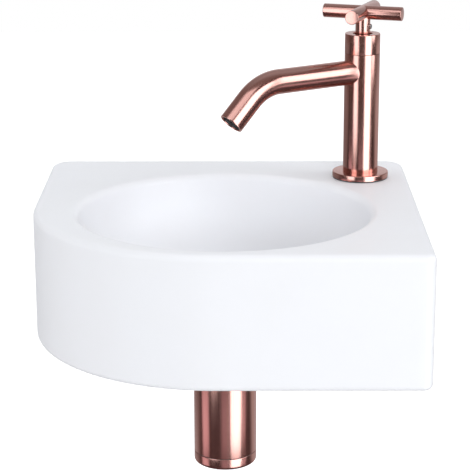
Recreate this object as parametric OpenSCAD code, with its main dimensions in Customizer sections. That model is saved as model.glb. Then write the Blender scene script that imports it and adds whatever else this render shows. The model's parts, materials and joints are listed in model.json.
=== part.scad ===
// Small wall-hung hand basin with one cold tap, an always-open waste and a bottle trap.
// X runs along the wall, +Y goes into the wall and +Z is up, in millimetres.
// The origin lies on the wall face, midway between the two fixing holes.

/* [Basin] */
// Width along the wall
basin_w = 300; // [290:1:340]
// Reach from the wall to the front
basin_d = 290; // [280:1:330]
// Height from the foot of the skirt to the rim
basin_h = 102; // [96:1:125]
// Plan radius of the large front left corner
front_arc_r = 142; // [110:1:146]
// Plan radius of the front right corner
front_corner_r = 8; // [6:0.5:14]
// Plan radius of the two corners at the wall
back_corner_r = 16; // [10:1:24]
// Rounding of the rim's outer edge
top_edge_r = 5; // [3:0.5:6]
// Rounding of the skirt's foot
foot_edge_r = 4; // [2:0.5:5]
// Thickness of the outer walls
skirt_t = 9; // [7:0.5:12]
// Thickness of the flat top
deck_t = 12; // [10:0.5:15]
// Distance between the two wall fixing holes
fixing_spacing = 160; // [120:1:200]
// Distance of the fixing holes below the rim
fixing_drop = 40; // [30:1:60]
// Diameter of a wall fixing hole
fixing_hole_d = 13; // [11:0.5:16]

/* [Bowl] */
// Radius of the bowl's wall just under its lip
bowl_r = 111.5; // [100:0.5:114]
// Width from the left side of the basin to the bowl's wall
bowl_left_rim = 37.3; // [32:0.1:45]
// Width from the front of the basin to the bowl's wall
bowl_front_rim = 15.5; // [14:0.5:22]
// Depth of the bowl at the waste
bowl_depth = 66; // [60:1:72]
// Rounding of the lip between the top and the bowl
lip_r = 6; // [4:0.5:8]
// Fullness of the bowl's side, where 2 is an ellipse
bowl_fullness = 2.4; // [2:0.1:3]
// Thickness of the bowl's shell
bowl_shell_t = 10; // [8:0.5:11]

/* [Waste] */
// How much wider the drain hole is than the waste tail
drain_hole_play = 3.1; // [1:0.1:6]
// How much wider the recess in the ceramic is than the waste flange
drain_recess_play = 4; // [2:0.5:8]
// Depth of that recess
drain_recess = 3; // [2:0.5:4]
// Thickness of the ceramic under the recess
drain_floor_t = 9; // [8:0.5:14]
// Diameter of the waste flange
waste_flange_d = 62; // [58:0.5:64]
// Thickness of the waste flange
waste_flange_t = 2.3; // [1.5:0.1:3]
// Outer diameter of the waste tail, a one and a quarter inch pipe thread
waste_tail_d = 41.9; // [41.5:0.1:42.4]
// Wall of the waste tail
waste_wall = 2.9; // [2:0.1:4]
// Length of the waste tail below the ceramic
waste_tail_l = 24; // [23:0.5:32]
// Diameter of the lift-out cover
cover_d = 54; // [48:0.5:56]
// Open height between the flange and the cover
cover_gap = 4; // [3:0.5:7]
// How far the cover lifts for cleaning
cover_lift = 16; // [8:1:16]

/* [Trap] */
// Outer diameter of the bottle trap
trap_d = 49.8; // [48:0.1:54]
// Wall of the bottle trap
trap_wall = 2; // [1.5:0.1:2.5]
// Distance of the clean-out cap's seam below the axis of the outlet
trap_seam_drop = 65.5; // [58:0.5:80]
// Height of the clean-out cap below that seam
trap_cap_h = 9.5; // [7:0.5:20]
// Outer diameter of the dip tube and of the pipe to the wall
pipe_d = 32; // [31:0.1:33]
// Wall of these tubes
pipe_wall = 1.2; // [0.8:0.1:1.6]
// Gap under the dip tube, above the floor of the cap
dip_clearance = 10; // [8:0.5:14]
// Length of the pipe beyond the wall face
pipe_into_wall = 30; // [10:1:80]
// Diameter of the wall rosette
rosette_d = 60; // [50:1:72]
// Height of the wall rosette
rosette_h = 10; // [6:0.5:14]

/* [Tap] */
// Distance of the tap's axis from the right side of the basin
tap_side = 39.6; // [37:0.1:44]
// Distance of the tap's axis from the wall
tap_back = 60; // [50:0.5:66]
// Diameter of the tap hole in the ceramic
tap_hole_d = 35; // [30:0.5:36]
// Diameter of the tap's body
tap_d = 28.8; // [28:0.1:30]
// Height of the seam between the body and the sleeve above the spout's level part
tap_seam_h = 15.2; // [14.8:0.1:24]
// Height of the sleeve's top above that seam
sleeve_top_h = 15.8; // [14.8:0.1:26]
// Diameter of the round base plate
flange_d = 46; // [42:0.5:50]
// Thickness of the round base plate
flange_t = 4.5; // [3:0.1:6]
// Thickness of the rubber under the base plate
gasket_t = 1; // [0.6:0.1:1.5]
// Outer diameter of the inlet tail, a half inch pipe thread
tail_d = 20.95; // [20.7:0.05:21.1]
// Bore of the inlet tail
tail_bore = 12; // [9:0.5:14]
// Length of the inlet tail below the rim
tail_l = 58; // [45:1:70]

/* [Spout] */
// Outer diameter of the spout tube
spout_d = 19.9; // [18.6:0.1:20]
// Wall of the spout tube
spout_wall = 1.6; // [1.2:0.1:2]
// Height of the spout's level part above the rim
spout_h = 88.8; // [84:0.1:90]
// Turn of the spout from the tap towards the bowl, away from the line of the wall
spout_turn = 33.5; // [0:0.5:45]
// Distance from the tap's axis to the start of the bend
spout_reach = 82.5; // [60:0.5:90]
// Radius of the bend at the centre of the tube
bend_r = 40; // [30:0.5:60]
// Angle that the bend turns down
bend_angle = 45; // [30:1:70]
// Length of the straight end after the bend
spout_end_l = 24.2; // [16:0.1:40]

/* [Handle] */
// Height of the cross bars' centre above the sleeve's top
cross_h = 17.1; // [16.2:0.1:25]
// Diameter of a cross bar
bar_d = 11.1; // [9:0.1:12]
// Length of a cross bar
bar_l = 65.4; // [50:0.1:80]
// Diameter of the handle's stem
stem_d = 12; // [11:0.1:13]
// Diameter of the hole in the sleeve's top around the stem
sleeve_hole_d = 16; // [14:0.1:18]
// Turn of the closed handle from the line of the wall
handle_rest = 20; // [0:0.1:45]

/* [Hidden] */
$fn = 72;

// Small cutting overlap, and the radial play of a thread or a slip fit
eps = 0.5;
play = 0.1;
// Play between pieces that move on each other
run_gap = 0.15;

// Smallest inside corner of the cast ceramic
least_corner_r = 1;

// Main places
z_rim = fixing_drop;
bowl_x = -basin_w / 2 + bowl_left_rim + bowl_r;
bowl_y = -basin_d + bowl_front_rim + bowl_r;
tap_x = basin_w / 2 - tap_side;
// The tap's fixings stay clear of the bowl's shell, so a wider bowl moves the tap back
inlet_washer_lap = 3;
inlet_washer_r = tap_hole_d / 2 + inlet_washer_lap;
tap_to_bowl = bowl_r + bowl_shell_t + inlet_washer_r + eps;
tap_y = max(-tap_back, bowl_y + sqrt(max(pow(tap_to_bowl, 2) - pow(tap_x - bowl_x, 2), 0)));

// The drain in the ceramic
drain_hole_d = waste_tail_d + drain_hole_play;
drain_recess_d = waste_flange_d + drain_recess_play;

// Heights around the drain, from the rim
drain_z = -bowl_depth;
recess_z = drain_z - drain_recess;
underside_z = recess_z - drain_floor_t;
waste_end_z = underside_z - waste_tail_l;
waste_seal_t = 1.5;
lower_seal_t = 3;
locknut_h = 7;
locknut_d = 56;
flange_z = recess_z + waste_seal_t;
flange_top_z = flange_z + waste_flange_t;
waste_r = waste_tail_d / 2;
waste_bore_r = waste_r - waste_wall;
guide_r = 6.5;
guide_h = 4;
guide_z = recess_z - 8;
cover_stem_r = 3.5;
cover_t = 2.4;
cover_z = flange_top_z + cover_gap;
cover_stem_end_z = guide_z - cover_lift;

// Heights down the trap, from the rim
trap_r = trap_d / 2;
trap_bore_r = trap_r - trap_wall;
pipe_r = pipe_d / 2;
pipe_bore_r = pipe_r - pipe_wall;
coupling_seal_t = 2;
dip_flange_t = 2;
collar_t = 3;
coupling_lip_t = 2.4;
neck_h = 3;
shoulder_t = 3;
dip_top_z = waste_end_z - coupling_seal_t;
collar_z = dip_top_z - dip_flange_t;
neck_z = collar_z - collar_t;
shoulder_z = neck_z - neck_h;
coupling_wall = 3.25;
collar_step = 0.65;
neck_step = 2.4;
coupling_r = waste_r + play + coupling_wall;
collar_r = waste_r + collar_step;
neck_r = collar_r - neck_step;
coupling_top_z = underside_z - lower_seal_t - locknut_h - 2;
stub_wall = 2.1;
stub_r = pipe_r + play + stub_wall;
outlet_z = min(shoulder_z - shoulder_t - pipe_r - 2, -basin_h - rosette_d / 2 - 1);
seam_z = outlet_z - trap_seam_drop;
cap_seal_t = 0.4;
cap_top_z = seam_z - cap_seal_t;
cap_bottom_z = seam_z - trap_cap_h;
cap_floor_t = 3;
cap_spigot_h = 8;
cap_spigot_wall = 2.2;
cap_edge_r = 2.5;
dip_end_z = cap_bottom_z + cap_floor_t + dip_clearance;

// Distances along the outlet, from the trap's axis towards the wall
stub_l = 14;
outlet_nut_l = 10;
pipe_stop_l = 2;
stub_end = trap_r + stub_l;
pipe_stop = trap_r + pipe_stop_l;
nut_start = stub_end - outlet_nut_l;
outlet_seal_t = 1.5;
outlet_lip_t = 2.5;
nut_end = stub_end + outlet_seal_t + outlet_lip_t;
outlet_nut_wall = 3.9;
outlet_nut_r = stub_r + outlet_nut_wall;
wall_at = -bowl_y;
rosette_bore_r = pipe_r + 2 * play;
rosette_neck_r = pipe_r + 2;
rosette_slope = 6;
rosette_t = 1.4;
rosette_collar = 4;

// Radii and heights in the tap, from the rim
seam_at = spout_h + tap_seam_h;
sleeve_at = seam_at + sleeve_top_h;
cross_at = sleeve_at + cross_h;
tap_r = tap_d / 2;
tail_r = tail_d / 2;
inlet_seal_z = -deck_t - 3;
inlet_washer_z = inlet_seal_z - 1.5;
backnut_h = 7.5;
backnut_flats = 32;
socket_top = 14;
spout_r = spout_d / 2;
spout_bore_r = spout_r - spout_wall;
bend_thinning = 0.02;
bend_lap = 0.3;
insert_r = spout_bore_r - 1.15;
jet_r = 0.75;
jet_pitch = (insert_r - jet_r - 1.2) / 2;
port_r = spout_r + 0.05;
chamber_r = 10.2;
saddle_r = chamber_r + 0.6;
waterway_r = 6;
seat_drop = 16.7;
seat_h = spout_h - seat_drop;
thread_h = 4.5;
body_top = seam_at - 0.2;
thread_start = body_top - thread_h;
nose_r = 8.6;
nose_wall = 0.9;
valve_seal_t = 2;
nose_bottom = seat_h + valve_seal_t;
disc_r = nose_r - nose_wall - play;
disc_t = 3;
disc_port_r = 1.9;
disc_port_at = 3.9;
fixed_disc_h = nose_bottom + 0.2;
turning_disc_h = fixed_disc_h + disc_t + 0.05;
drive_h = turning_disc_h + disc_t;
drive_flange_t = 2.2;
drive_lug = [8, 2.5, 1];
spindle_thick_r = 5;
spindle_r = 4;
sleeve_wall = 1.6;
hex_flats = (tap_r - sleeve_wall - 0.7) * sqrt(3);
hex_h = 4.3;
hex_top = body_top + hex_h;
housing_top_r = tap_r - 3.4;
sleeve_plate_t = 2.5;
sleeve_plate_z = sleeve_at - sleeve_plate_t;
housing_top = sleeve_plate_z - 2.8;
spindle_groove_h = thread_start - 3.5;
spindle_groove_t = 2;
spindle_groove_r = 3.9;
clip_t = 0.9;
clip_h = housing_top + 0.3;
clip_groove_r = 3.2;

// Handle
bar_r = bar_d / 2;
stem_r = stem_d / 2;
stem_bottom = sleeve_plate_z + 0.3;
stem_top = cross_at - 2.7;
spindle_top = cross_at - bar_r - 4.5;
grub_h = (sleeve_at + cross_at - bar_r) / 2;
grub_r = 2;
grub_reach = 7.2;

// Points of an arc about a centre, from angle a0 to a1, both ends included
function arc(c, r, a0, a1, n) =
    [for (i = [0:n]) let (a = a0 + (a1 - a0) * i / n) c + r * [cos(a), sin(a)]];

// Side curve of the bowl, from under the lip down to the drain recess, grown outwards
function bowl_side(grow, n = 14) =
    [for (i = [0:n]) let (t = 90 * i / n, p = 2 / bowl_fullness)
        [drain_recess_d / 2 + (bowl_r + grow - drain_recess_d / 2) * pow(cos(t), p),
         -lip_r - (bowl_depth + grow - lip_r) * pow(sin(t), p)]];

// A corner of the basin's plan, drawn in by an amount, with its inside never sharp
function inner_corner(tip, r, inset, inwards, a0) =
    let (reach = max(r, inset + least_corner_r))
        arc(tip + reach * inwards, reach - inset, a0, a0 + 90, 6);

// Plan of the basin, drawn in by an amount
function plan(inset) = concat(
    arc([-basin_w / 2 + front_arc_r, -basin_d + front_arc_r], front_arc_r - inset, 180, 270, 24),
    inner_corner([basin_w / 2, -basin_d], front_corner_r, inset, [-1, 1], 270),
    inner_corner([basin_w / 2, 0], back_corner_r, inset, [-1, -1], 0),
    inner_corner([-basin_w / 2, 0], back_corner_r, inset, [1, -1], 90));

module at_drain() translate([bowl_x, bowl_y, z_rim]) children();
module at_tap() translate([tap_x, tap_y, z_rim]) children();
module at_spout() at_tap() rotate([0, 0, 180 + spout_turn]) children();
module at_handle() at_tap() rotate([0, 0, -handle_rest]) children();
module along_outlet() at_drain() translate([0, 0, outlet_z]) rotate([-90, 0, 0]) children();
module at_bend_end()
    translate([spout_reach + bend_r * sin(bend_angle), 0, spout_h - bend_r * (1 - cos(bend_angle))])
        rotate([0, 90 + bend_angle, 0]) children();
module at_spout_tip() at_spout() at_bend_end() translate([0, 0, spout_end_l]) children();

// A tube between two heights
module tube(ro, ri, z0, z1)
    translate([0, 0, z0]) difference() {
        cylinder(r = ro, h = z1 - z0);
        translate([0, 0, -eps]) cylinder(r = ri, h = z1 - z0 + 2 * eps);
    }

module bar(r, z0, z1) translate([0, 0, z0]) cylinder(r = r, h = z1 - z0);

// A six-sided nut with a round bore between two heights
module hex_nut(flats, bore_r, z0, z1)
    translate([0, 0, z0]) difference() {
        cylinder(r = flats / sqrt(3), h = z1 - z0, $fn = 6);
        translate([0, 0, -eps]) cylinder(r = bore_r, h = z1 - z0 + 2 * eps);
    }

// Section through the basin's outer wall, from the rim to the foot
module edge_section(reach)
    polygon(concat([[0, -basin_h]],
        arc([reach - foot_edge_r, -basin_h + foot_edge_r], foot_edge_r, -90, 0, 5),
        arc([reach - top_edge_r, -top_edge_r], top_edge_r, 0, 90, 6), [[0, 0]]));

module edge_corner(x, y, r, turn)
    translate([x, y, 0]) rotate([0, 0, turn]) rotate_extrude(angle = 90) edge_section(r);

// A straight wall whose outer face looks along turn, from a start point and of a length
module edge_run(x, y, reach, run, turn)
    translate([x, y, 0]) rotate([0, 0, turn]) rotate([90, 0, 0])
        linear_extrude(run) edge_section(reach);

module basin_outside() {
    left = -basin_w / 2;
    right = basin_w / 2;
    front = -basin_d;
    edge_corner(left + front_arc_r, front + front_arc_r, front_arc_r, 180);
    edge_corner(right - front_corner_r, front + front_corner_r, front_corner_r, 270);
    edge_corner(right - back_corner_r, -back_corner_r, back_corner_r, 0);
    edge_corner(left + back_corner_r, -back_corner_r, back_corner_r, 90);
    edge_run(right - front_corner_r, -back_corner_r, front_corner_r,
        basin_d - front_corner_r - back_corner_r, 0);
    edge_run(left + back_corner_r, -back_corner_r, back_corner_r,
        basin_w - 2 * back_corner_r, 90);
    edge_run(left + back_corner_r, front + front_arc_r, back_corner_r,
        basin_d - front_arc_r - back_corner_r, 180);
    edge_run(right - front_corner_r, front + front_corner_r, front_corner_r,
        basin_w - front_arc_r - front_corner_r, 270);
    translate([left + front_arc_r, front + front_corner_r, -basin_h])
        cube([basin_w - front_arc_r - front_corner_r,
            basin_d - front_corner_r - back_corner_r, basin_h]);
    translate([left + back_corner_r, front + front_arc_r, -basin_h])
        cube([front_arc_r - back_corner_r, basin_d - front_arc_r - back_corner_r, basin_h]);
}

module bowl_hollow()
    rotate_extrude()
        polygon(concat([[0, eps], [0, drain_z]],
            [for (i = [0:14]) bowl_side(0)[14 - i]],
            arc([bowl_r + lip_r, -lip_r], lip_r, 180, 90, 6), [[bowl_r + lip_r, eps]]));

module bowl_shell() {
    rotate_extrude()
        polygon(concat([[0, 0], [0, drain_z - bowl_shell_t]],
            [for (i = [0:14]) bowl_side(bowl_shell_t)[14 - i]],
            [[bowl_r + bowl_shell_t, 0]]));
    bar(drain_recess_d / 2, underside_z, drain_z);
}

module basin_ceramic()
    color("white") difference() {
        translate([0, 0, z_rim]) basin_outside();
        at_drain() bowl_hollow();
        difference() {
            translate([0, 0, z_rim - basin_h - eps])
                linear_extrude(basin_h - deck_t + eps) polygon(plan(skirt_t));
            at_drain() bowl_shell();
        }
        at_drain() bar(drain_recess_d / 2, recess_z, drain_z + eps);
        at_drain() bar(drain_hole_d / 2, underside_z - eps, drain_z);
        at_tap() bar(tap_hole_d / 2, -deck_t - eps, eps);
        for (side = [-1, 1])
            translate([side * fixing_spacing / 2, eps, 0]) rotate([90, 0, 0])
                cylinder(d = fixing_hole_d, h = skirt_t + 2 * eps);
    }

module tap_body()
    color("#b0705f") difference() {
        at_tap() bar(tap_r, gasket_t, body_top);
        at_tap() bar(tail_r + play, 0, socket_top);
        at_tap() bar(waterway_r, 0, seat_h + eps);
        at_tap() bar(chamber_r, seat_h, thread_start + eps);
        at_tap() bar(tail_r + play, thread_start, body_top + eps);
        at_spout() translate([0, 0, spout_h]) rotate([0, 90, 0])
            cylinder(r = port_r, h = tap_r + eps);
    }

module tap_base_plate()
    color("#b0705f") at_tap() rotate_extrude()
        polygon([[tap_r + play, gasket_t], [flange_d / 2, gasket_t],
            [flange_d / 2, gasket_t + flange_t - 0.7], [flange_d / 2 - 0.7, gasket_t + flange_t],
            [tap_r + play, gasket_t + flange_t]]);

module base_gasket() color("#2a2a2a") at_tap() tube(flange_d / 2 - 0.5, tail_r + 0.6, 0, gasket_t);

module inlet_tail() color("#c9a46a") at_tap() tube(tail_r, tail_bore / 2, -tail_l, socket_top - 0.3);

module inlet_seal()
    color("#2a2a2a") at_tap() tube(inlet_washer_r, tail_r + 0.4, inlet_seal_z, -deck_t);

module inlet_washer()
    color("#c0c0c0") at_tap() tube(inlet_washer_r, tail_r + 0.4, inlet_washer_z, inlet_seal_z);

module inlet_backnut()
    color("#c9a46a") at_tap()
        hex_nut(backnut_flats, tail_r + play, inlet_washer_z - backnut_h, inlet_washer_z);

// Three hollow lengths: level tube, bend and straight end. The bend's wall is a hair
// thinner than theirs and laps a little into both, as a drawn tube's does.
module spout_tube()
    color("#b0705f") at_spout() difference() {
        union() {
            translate([0, 0, spout_h]) rotate([0, 90, 0]) tube(spout_r, spout_bore_r, 0, spout_reach);
            translate([spout_reach, 0, spout_h - bend_r]) rotate([90, 0, 0])
                rotate([0, 0, 90 - bend_angle - bend_lap])
                    rotate_extrude(angle = bend_angle + 2 * bend_lap) translate([bend_r, 0]) difference() {
                        circle(r = spout_r - bend_thinning);
                        circle(r = spout_bore_r + bend_thinning);
                    }
            at_bend_end() tube(spout_r, spout_bore_r, 0, spout_end_l);
        }
        bar(saddle_r, spout_h - spout_d, spout_h + spout_d);
    }

module aerator_ring() color("#2a2a2a") at_spout_tip() tube(spout_bore_r - 0.05, spout_bore_r - 1.1, -9, -0.8);

module aerator_insert()
    color("#2a2a2a") at_spout_tip() difference() {
        bar(insert_r, -6.5, -2.5);
        translate([0, 0, -7]) cylinder(r = jet_r, h = 5, $fn = 16);
        for (ring = [1:2], k = [0:6 * ring - 1])
            rotate([0, 0, 60 * k / ring]) translate([jet_pitch * ring, 0, -7])
                cylinder(r = jet_r, h = 5, $fn = 16);
    }

module aerator_seal() color("#2a2a2a") at_spout_tip() tube(spout_bore_r - 0.1, spout_bore_r - 1.9, -10.5, -9);

module tap_sleeve()
    color("#b0705f") at_tap() difference() {
        bar(tap_r, seam_at, sleeve_at);
        bar(tap_r - sleeve_wall, seam_at - eps, hex_top + 0.4);
        bar(housing_top_r + play, hex_top, sleeve_plate_z);
        bar(sleeve_hole_d / 2, sleeve_plate_z - eps, sleeve_at + eps);
    }

module valve_housing()
    color("#c9a46a") at_tap() difference() {
        union() {
            bar(nose_r, nose_bottom, thread_start + eps);
            bar(tail_r, thread_start, body_top);
            translate([0, 0, body_top]) cylinder(r = hex_flats / sqrt(3), h = hex_h, $fn = 6);
            bar(housing_top_r, hex_top, housing_top);
        }
        bar(nose_r - nose_wall, nose_bottom - eps, spindle_groove_h - 4);
        bar(spindle_thick_r + run_gap, nose_bottom, thread_start + 2);
        bar(spindle_r + run_gap, nose_bottom, housing_top + eps);
        translate([-nose_r - eps, -3.5, drive_h + drive_flange_t]) cube([2 * (nose_r + eps), 7, 5]);
    }

module valve_seal() color("#2a2a2a") at_tap() tube(nose_r - 0.2, waterway_r, seat_h, nose_bottom);

// The hard disc that stays: two water ports in line with the wall
module valve_fixed_disc()
    color("#e8e4da") at_handle() difference() {
        bar(disc_r, fixed_disc_h, fixed_disc_h + disc_t);
        for (side = [-1, 1])
            translate([side * disc_port_at, 0, fixed_disc_h - eps])
                cylinder(r = disc_port_r, h = disc_t + 2 * eps);
    }

// The hard disc that turns: its ports lie a quarter turn away while the tap is shut
module valve_turning_disc()
    color("#e8e4da") at_handle() difference() {
        bar(disc_r, turning_disc_h, turning_disc_h + disc_t);
        for (side = [-1, 1])
            translate([0, side * disc_port_at, turning_disc_h - eps])
                cylinder(r = disc_port_r, h = disc_t + 2 * eps);
        translate([-drive_lug.x / 2 - play, -drive_lug.y / 2 - play, drive_h - drive_lug.z - play])
            cube([drive_lug.x + 2 * play, drive_lug.y + 2 * play, drive_lug.z + play + eps]);
    }

module valve_spindle()
    color("#c9a46a") at_handle() difference() {
        union() {
            translate([-drive_lug.x / 2, -drive_lug.y / 2, drive_h - drive_lug.z])
                cube([drive_lug.x, drive_lug.y, drive_lug.z + 1]);
            bar(disc_r - 0.3, drive_h + 0.05, drive_h + drive_flange_t);
            bar(spindle_thick_r, drive_h + 1, thread_start + 1.7);
            bar(spindle_r, drive_h + 1, spindle_top);
        }
        tube(spindle_thick_r + eps, spindle_groove_r, spindle_groove_h, spindle_groove_h + spindle_groove_t);
        tube(spindle_r + eps, clip_groove_r, clip_h, clip_h + clip_t);
    }

module spindle_seal()
    color("#2a2a2a") at_handle()
        tube(spindle_thick_r + run_gap - 0.05, spindle_groove_r + 0.02,
            spindle_groove_h + 0.1, spindle_groove_h + spindle_groove_t - 0.1);

// A sprung clip with its open side to the back
module spindle_clip()
    color("#c0c0c0") at_handle() difference() {
        tube(5.6, clip_groove_r + 0.05, clip_h + 0.05, clip_h + clip_t - 0.05);
        translate([-2, 0, clip_h - eps]) cube([4, 8, clip_t + 2 * eps]);
    }

// One cross bar with small chamfers on its ends, along X
module cross_bar(r, len, chamfer)
    rotate([0, 90, 0]) rotate_extrude()
        polygon([[0, -len / 2], [r - chamfer, -len / 2], [r, -len / 2 + chamfer],
            [r, len / 2 - chamfer], [r - chamfer, len / 2], [0, len / 2]]);

module handle_stem()
    color("#b0705f") at_handle() difference() {
        bar(stem_r, stem_bottom, stem_top);
        bar(spindle_r + 0.05, stem_bottom - eps, spindle_top + 0.4);
        translate([0, 0, grub_h]) rotate([0, 90, 0]) cylinder(r = grub_r + 0.05, h = stem_r + eps);
        for (turn = [0, 90])
            translate([0, 0, cross_at]) rotate([0, 0, turn]) rotate([0, 90, 0])
                cylinder(r = bar_r + 0.02, h = 3 * stem_r, center = true);
    }

module handle_cross()
    color("#b0705f") at_handle() translate([0, 0, cross_at])
        for (turn = [0, 90]) rotate([0, 0, turn]) cross_bar(bar_r, bar_l, 0.5);

module handle_grub_screw()
    color("#8a8a8a") at_handle() difference() {
        translate([spindle_r + 0.1, 0, grub_h]) rotate([0, 90, 0])
            cylinder(r = grub_r, h = grub_reach - spindle_r - 0.1);
        translate([grub_reach - 1.5, 0, grub_h]) rotate([0, 90, 0]) cylinder(r = 1.15, h = 2, $fn = 6);
    }

module waste_body()
    color("#b0705f") at_drain() {
        difference() {
            union() {
                bar(waste_flange_d / 2, flange_z, flange_top_z);
                bar(waste_r, waste_end_z, flange_z + eps);
            }
            bar(waste_bore_r, waste_end_z - eps, flange_top_z + eps);
            translate([0, 0, flange_top_z - 3.5])
                cylinder(r1 = waste_bore_r - 0.5, r2 = waste_bore_r + 5, h = 3.5 + 0.3);
        }
        difference() {
            union() {
                bar(guide_r, guide_z - guide_h, guide_z);
                for (turn = [0, 120, 240])
                    rotate([0, 0, turn]) translate([0, -1.5, guide_z - guide_h])
                        cube([waste_bore_r + 1, 3, guide_h]);
            }
            bar(cover_stem_r + run_gap, guide_z - guide_h - eps, guide_z + eps);
        }
    }

module waste_upper_seal()
    color("#2a2a2a") at_drain() tube(waste_flange_d / 2 - 0.5, waste_r + 0.4, recess_z, flange_z);

module waste_lower_seal()
    color("#2a2a2a") at_drain() tube(drain_recess_d / 2 - 2, waste_r + 0.4,
        underside_z - lower_seal_t, underside_z);

module waste_locknut()
    color("#c9a46a") at_drain() hex_nut(locknut_d - 4, waste_r + play,
        underside_z - lower_seal_t - locknut_h, underside_z - lower_seal_t);

// Low dome on a stem whose collar stands on the guide in the waste
module waste_cover()
    color("#b0705f") at_drain() rotate_extrude()
        polygon([[0, cover_stem_end_z], [cover_stem_r - 0.5, cover_stem_end_z],
            [cover_stem_r, cover_stem_end_z + 0.5], [cover_stem_r, guide_z + 0.1],
            [guide_r - 1, guide_z + 0.1], [guide_r - 1, guide_z + 2.1], [cover_stem_r, guide_z + 3.6],
            [cover_stem_r, cover_z + 0.6], [cover_d / 2 - 0.6, cover_z], [cover_d / 2, cover_z + 0.5],
            [cover_d / 2, cover_z + 1.2], [cover_d / 2 - 1, cover_z + 1.9],
            [cover_d / 3, cover_z + cover_t + 0.5], [cover_d / 6, cover_z + cover_t + 0.9],
            [0, cover_z + cover_t + 1]]);

// Loose nut: its thread grips the waste tail and its lip carries the trap's collar
module trap_coupling_nut()
    color("#b0705f") at_drain() difference() {
        bar(coupling_r, neck_z - 0.2 - coupling_lip_t, coupling_top_z);
        bar(waste_r + play, waste_end_z, coupling_top_z + eps);
        bar(collar_r + play, neck_z - 0.2, waste_end_z + 1);
        bar(neck_r + play, neck_z - 1 - coupling_lip_t, neck_z);
    }

module trap_coupling_seal()
    color("#2a2a2a") at_drain() tube(waste_r - 0.2, pipe_bore_r, dip_top_z, waste_end_z);

module trap_dip_tube()
    color("#d9d9d2") at_drain() difference() {
        union() {
            bar(pipe_r, dip_end_z, dip_top_z);
            bar(waste_r - 0.2, collar_z, dip_top_z);
        }
        bar(pipe_bore_r, dip_end_z - eps, dip_top_z + eps);
    }

module trap_body()
    color("#8f5a4e") difference() {
        union() {
            at_drain() bar(collar_r, neck_z, collar_z);
            at_drain() bar(neck_r, shoulder_z, neck_z);
            at_drain() bar(trap_r, seam_z, shoulder_z);
            along_outlet() bar(stub_r, 0, stub_end);
        }
        at_drain() bar(pipe_r + play, shoulder_z - shoulder_t - eps, collar_z + eps);
        at_drain() bar(trap_bore_r, seam_z - eps, shoulder_z - shoulder_t);
        along_outlet() bar(pipe_bore_r, 0, stub_end);
        along_outlet() bar(pipe_r + play, pipe_stop, stub_end + eps);
    }

// Clean-out cap with a screwed spigot that stands up inside the trap
module trap_cap()
    color("#8f5a4e") at_drain() difference() {
        union() {
            rotate_extrude()
                polygon(concat([[0, cap_bottom_z]],
                    arc([trap_r - cap_edge_r, cap_bottom_z + cap_edge_r], cap_edge_r, -90, 0, 5),
                    [[trap_r, cap_top_z], [0, cap_top_z]]));
            bar(trap_bore_r - play, cap_top_z - eps, cap_top_z + cap_spigot_h);
        }
        bar(trap_bore_r - play - cap_spigot_wall, cap_bottom_z + cap_floor_t, cap_top_z + cap_spigot_h + eps);
    }

module trap_cap_seal()
    color("#2a2a2a") at_drain() tube(trap_r - 0.3, trap_bore_r + 0.05, cap_top_z + 0.02, seam_z - 0.02);

module outlet_nut()
    color("#8f5a4e") along_outlet() difference() {
        bar(outlet_nut_r, nut_start, nut_end);
        bar(stub_r + play, nut_start - eps, nut_end - outlet_lip_t);
        bar(pipe_r + play, nut_start, nut_end + eps);
    }

module outlet_seal()
    color("#2a2a2a") along_outlet()
        tube(stub_r - 0.1, pipe_r + 0.02, stub_end, stub_end + outlet_seal_t);

module outlet_pipe()
    color("#8f5a4e") along_outlet()
        tube(pipe_r, pipe_bore_r, pipe_stop + 0.3, wall_at + pipe_into_wall);

// Thin dished ring that slides on the pipe and closes the hole in the wall
module wall_rosette()
    color("#8f5a4e") along_outlet() translate([0, 0, wall_at]) rotate_extrude()
        polygon([[rosette_bore_r, -rosette_h], [rosette_neck_r + 0.5, -rosette_h],
            [rosette_d / 2 - rosette_slope, -rosette_h / 2], [rosette_d / 2, 0], [rosette_d / 2 - 2, 0],
            [rosette_d / 2 - rosette_slope - 1, rosette_t - rosette_h / 2],
            [rosette_neck_r, rosette_t - rosette_h], [rosette_neck_r, rosette_collar - rosette_h],
            [rosette_bore_r, rosette_collar - rosette_h]]);

basin_ceramic();
tap_body();
tap_base_plate();
base_gasket();
inlet_tail();
inlet_seal();
inlet_washer();
inlet_backnut();
spout_tube();
aerator_ring();
aerator_insert();
aerator_seal();
tap_sleeve();
valve_housing();
valve_seal();
valve_fixed_disc();
valve_turning_disc();
valve_spindle();
spindle_seal();
spindle_clip();
handle_stem();
handle_cross();
handle_grub_screw();
waste_body();
waste_upper_seal();
waste_lower_seal();
waste_locknut();
waste_cover();
trap_coupling_nut();
trap_coupling_seal();
trap_dip_tube();
trap_body();
trap_cap();
trap_cap_seal();
outlet_nut();
outlet_seal();
outlet_pipe();
wall_rosette();
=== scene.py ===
"""Wall-hung hand basin with a cross-handle cold tap, an open waste and a bottle trap.

The packed model gives the places. This file gives each piece its finished shape and
surface, and sets up the stage, the lamps and the camera.
"""
import json
from math import atan2, cos, hypot, pi, radians, sin, sqrt

import bmesh
import bpy
from bpy.props import FloatProperty, FloatVectorProperty, PointerProperty
from mathutils import Matrix, Vector


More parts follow.
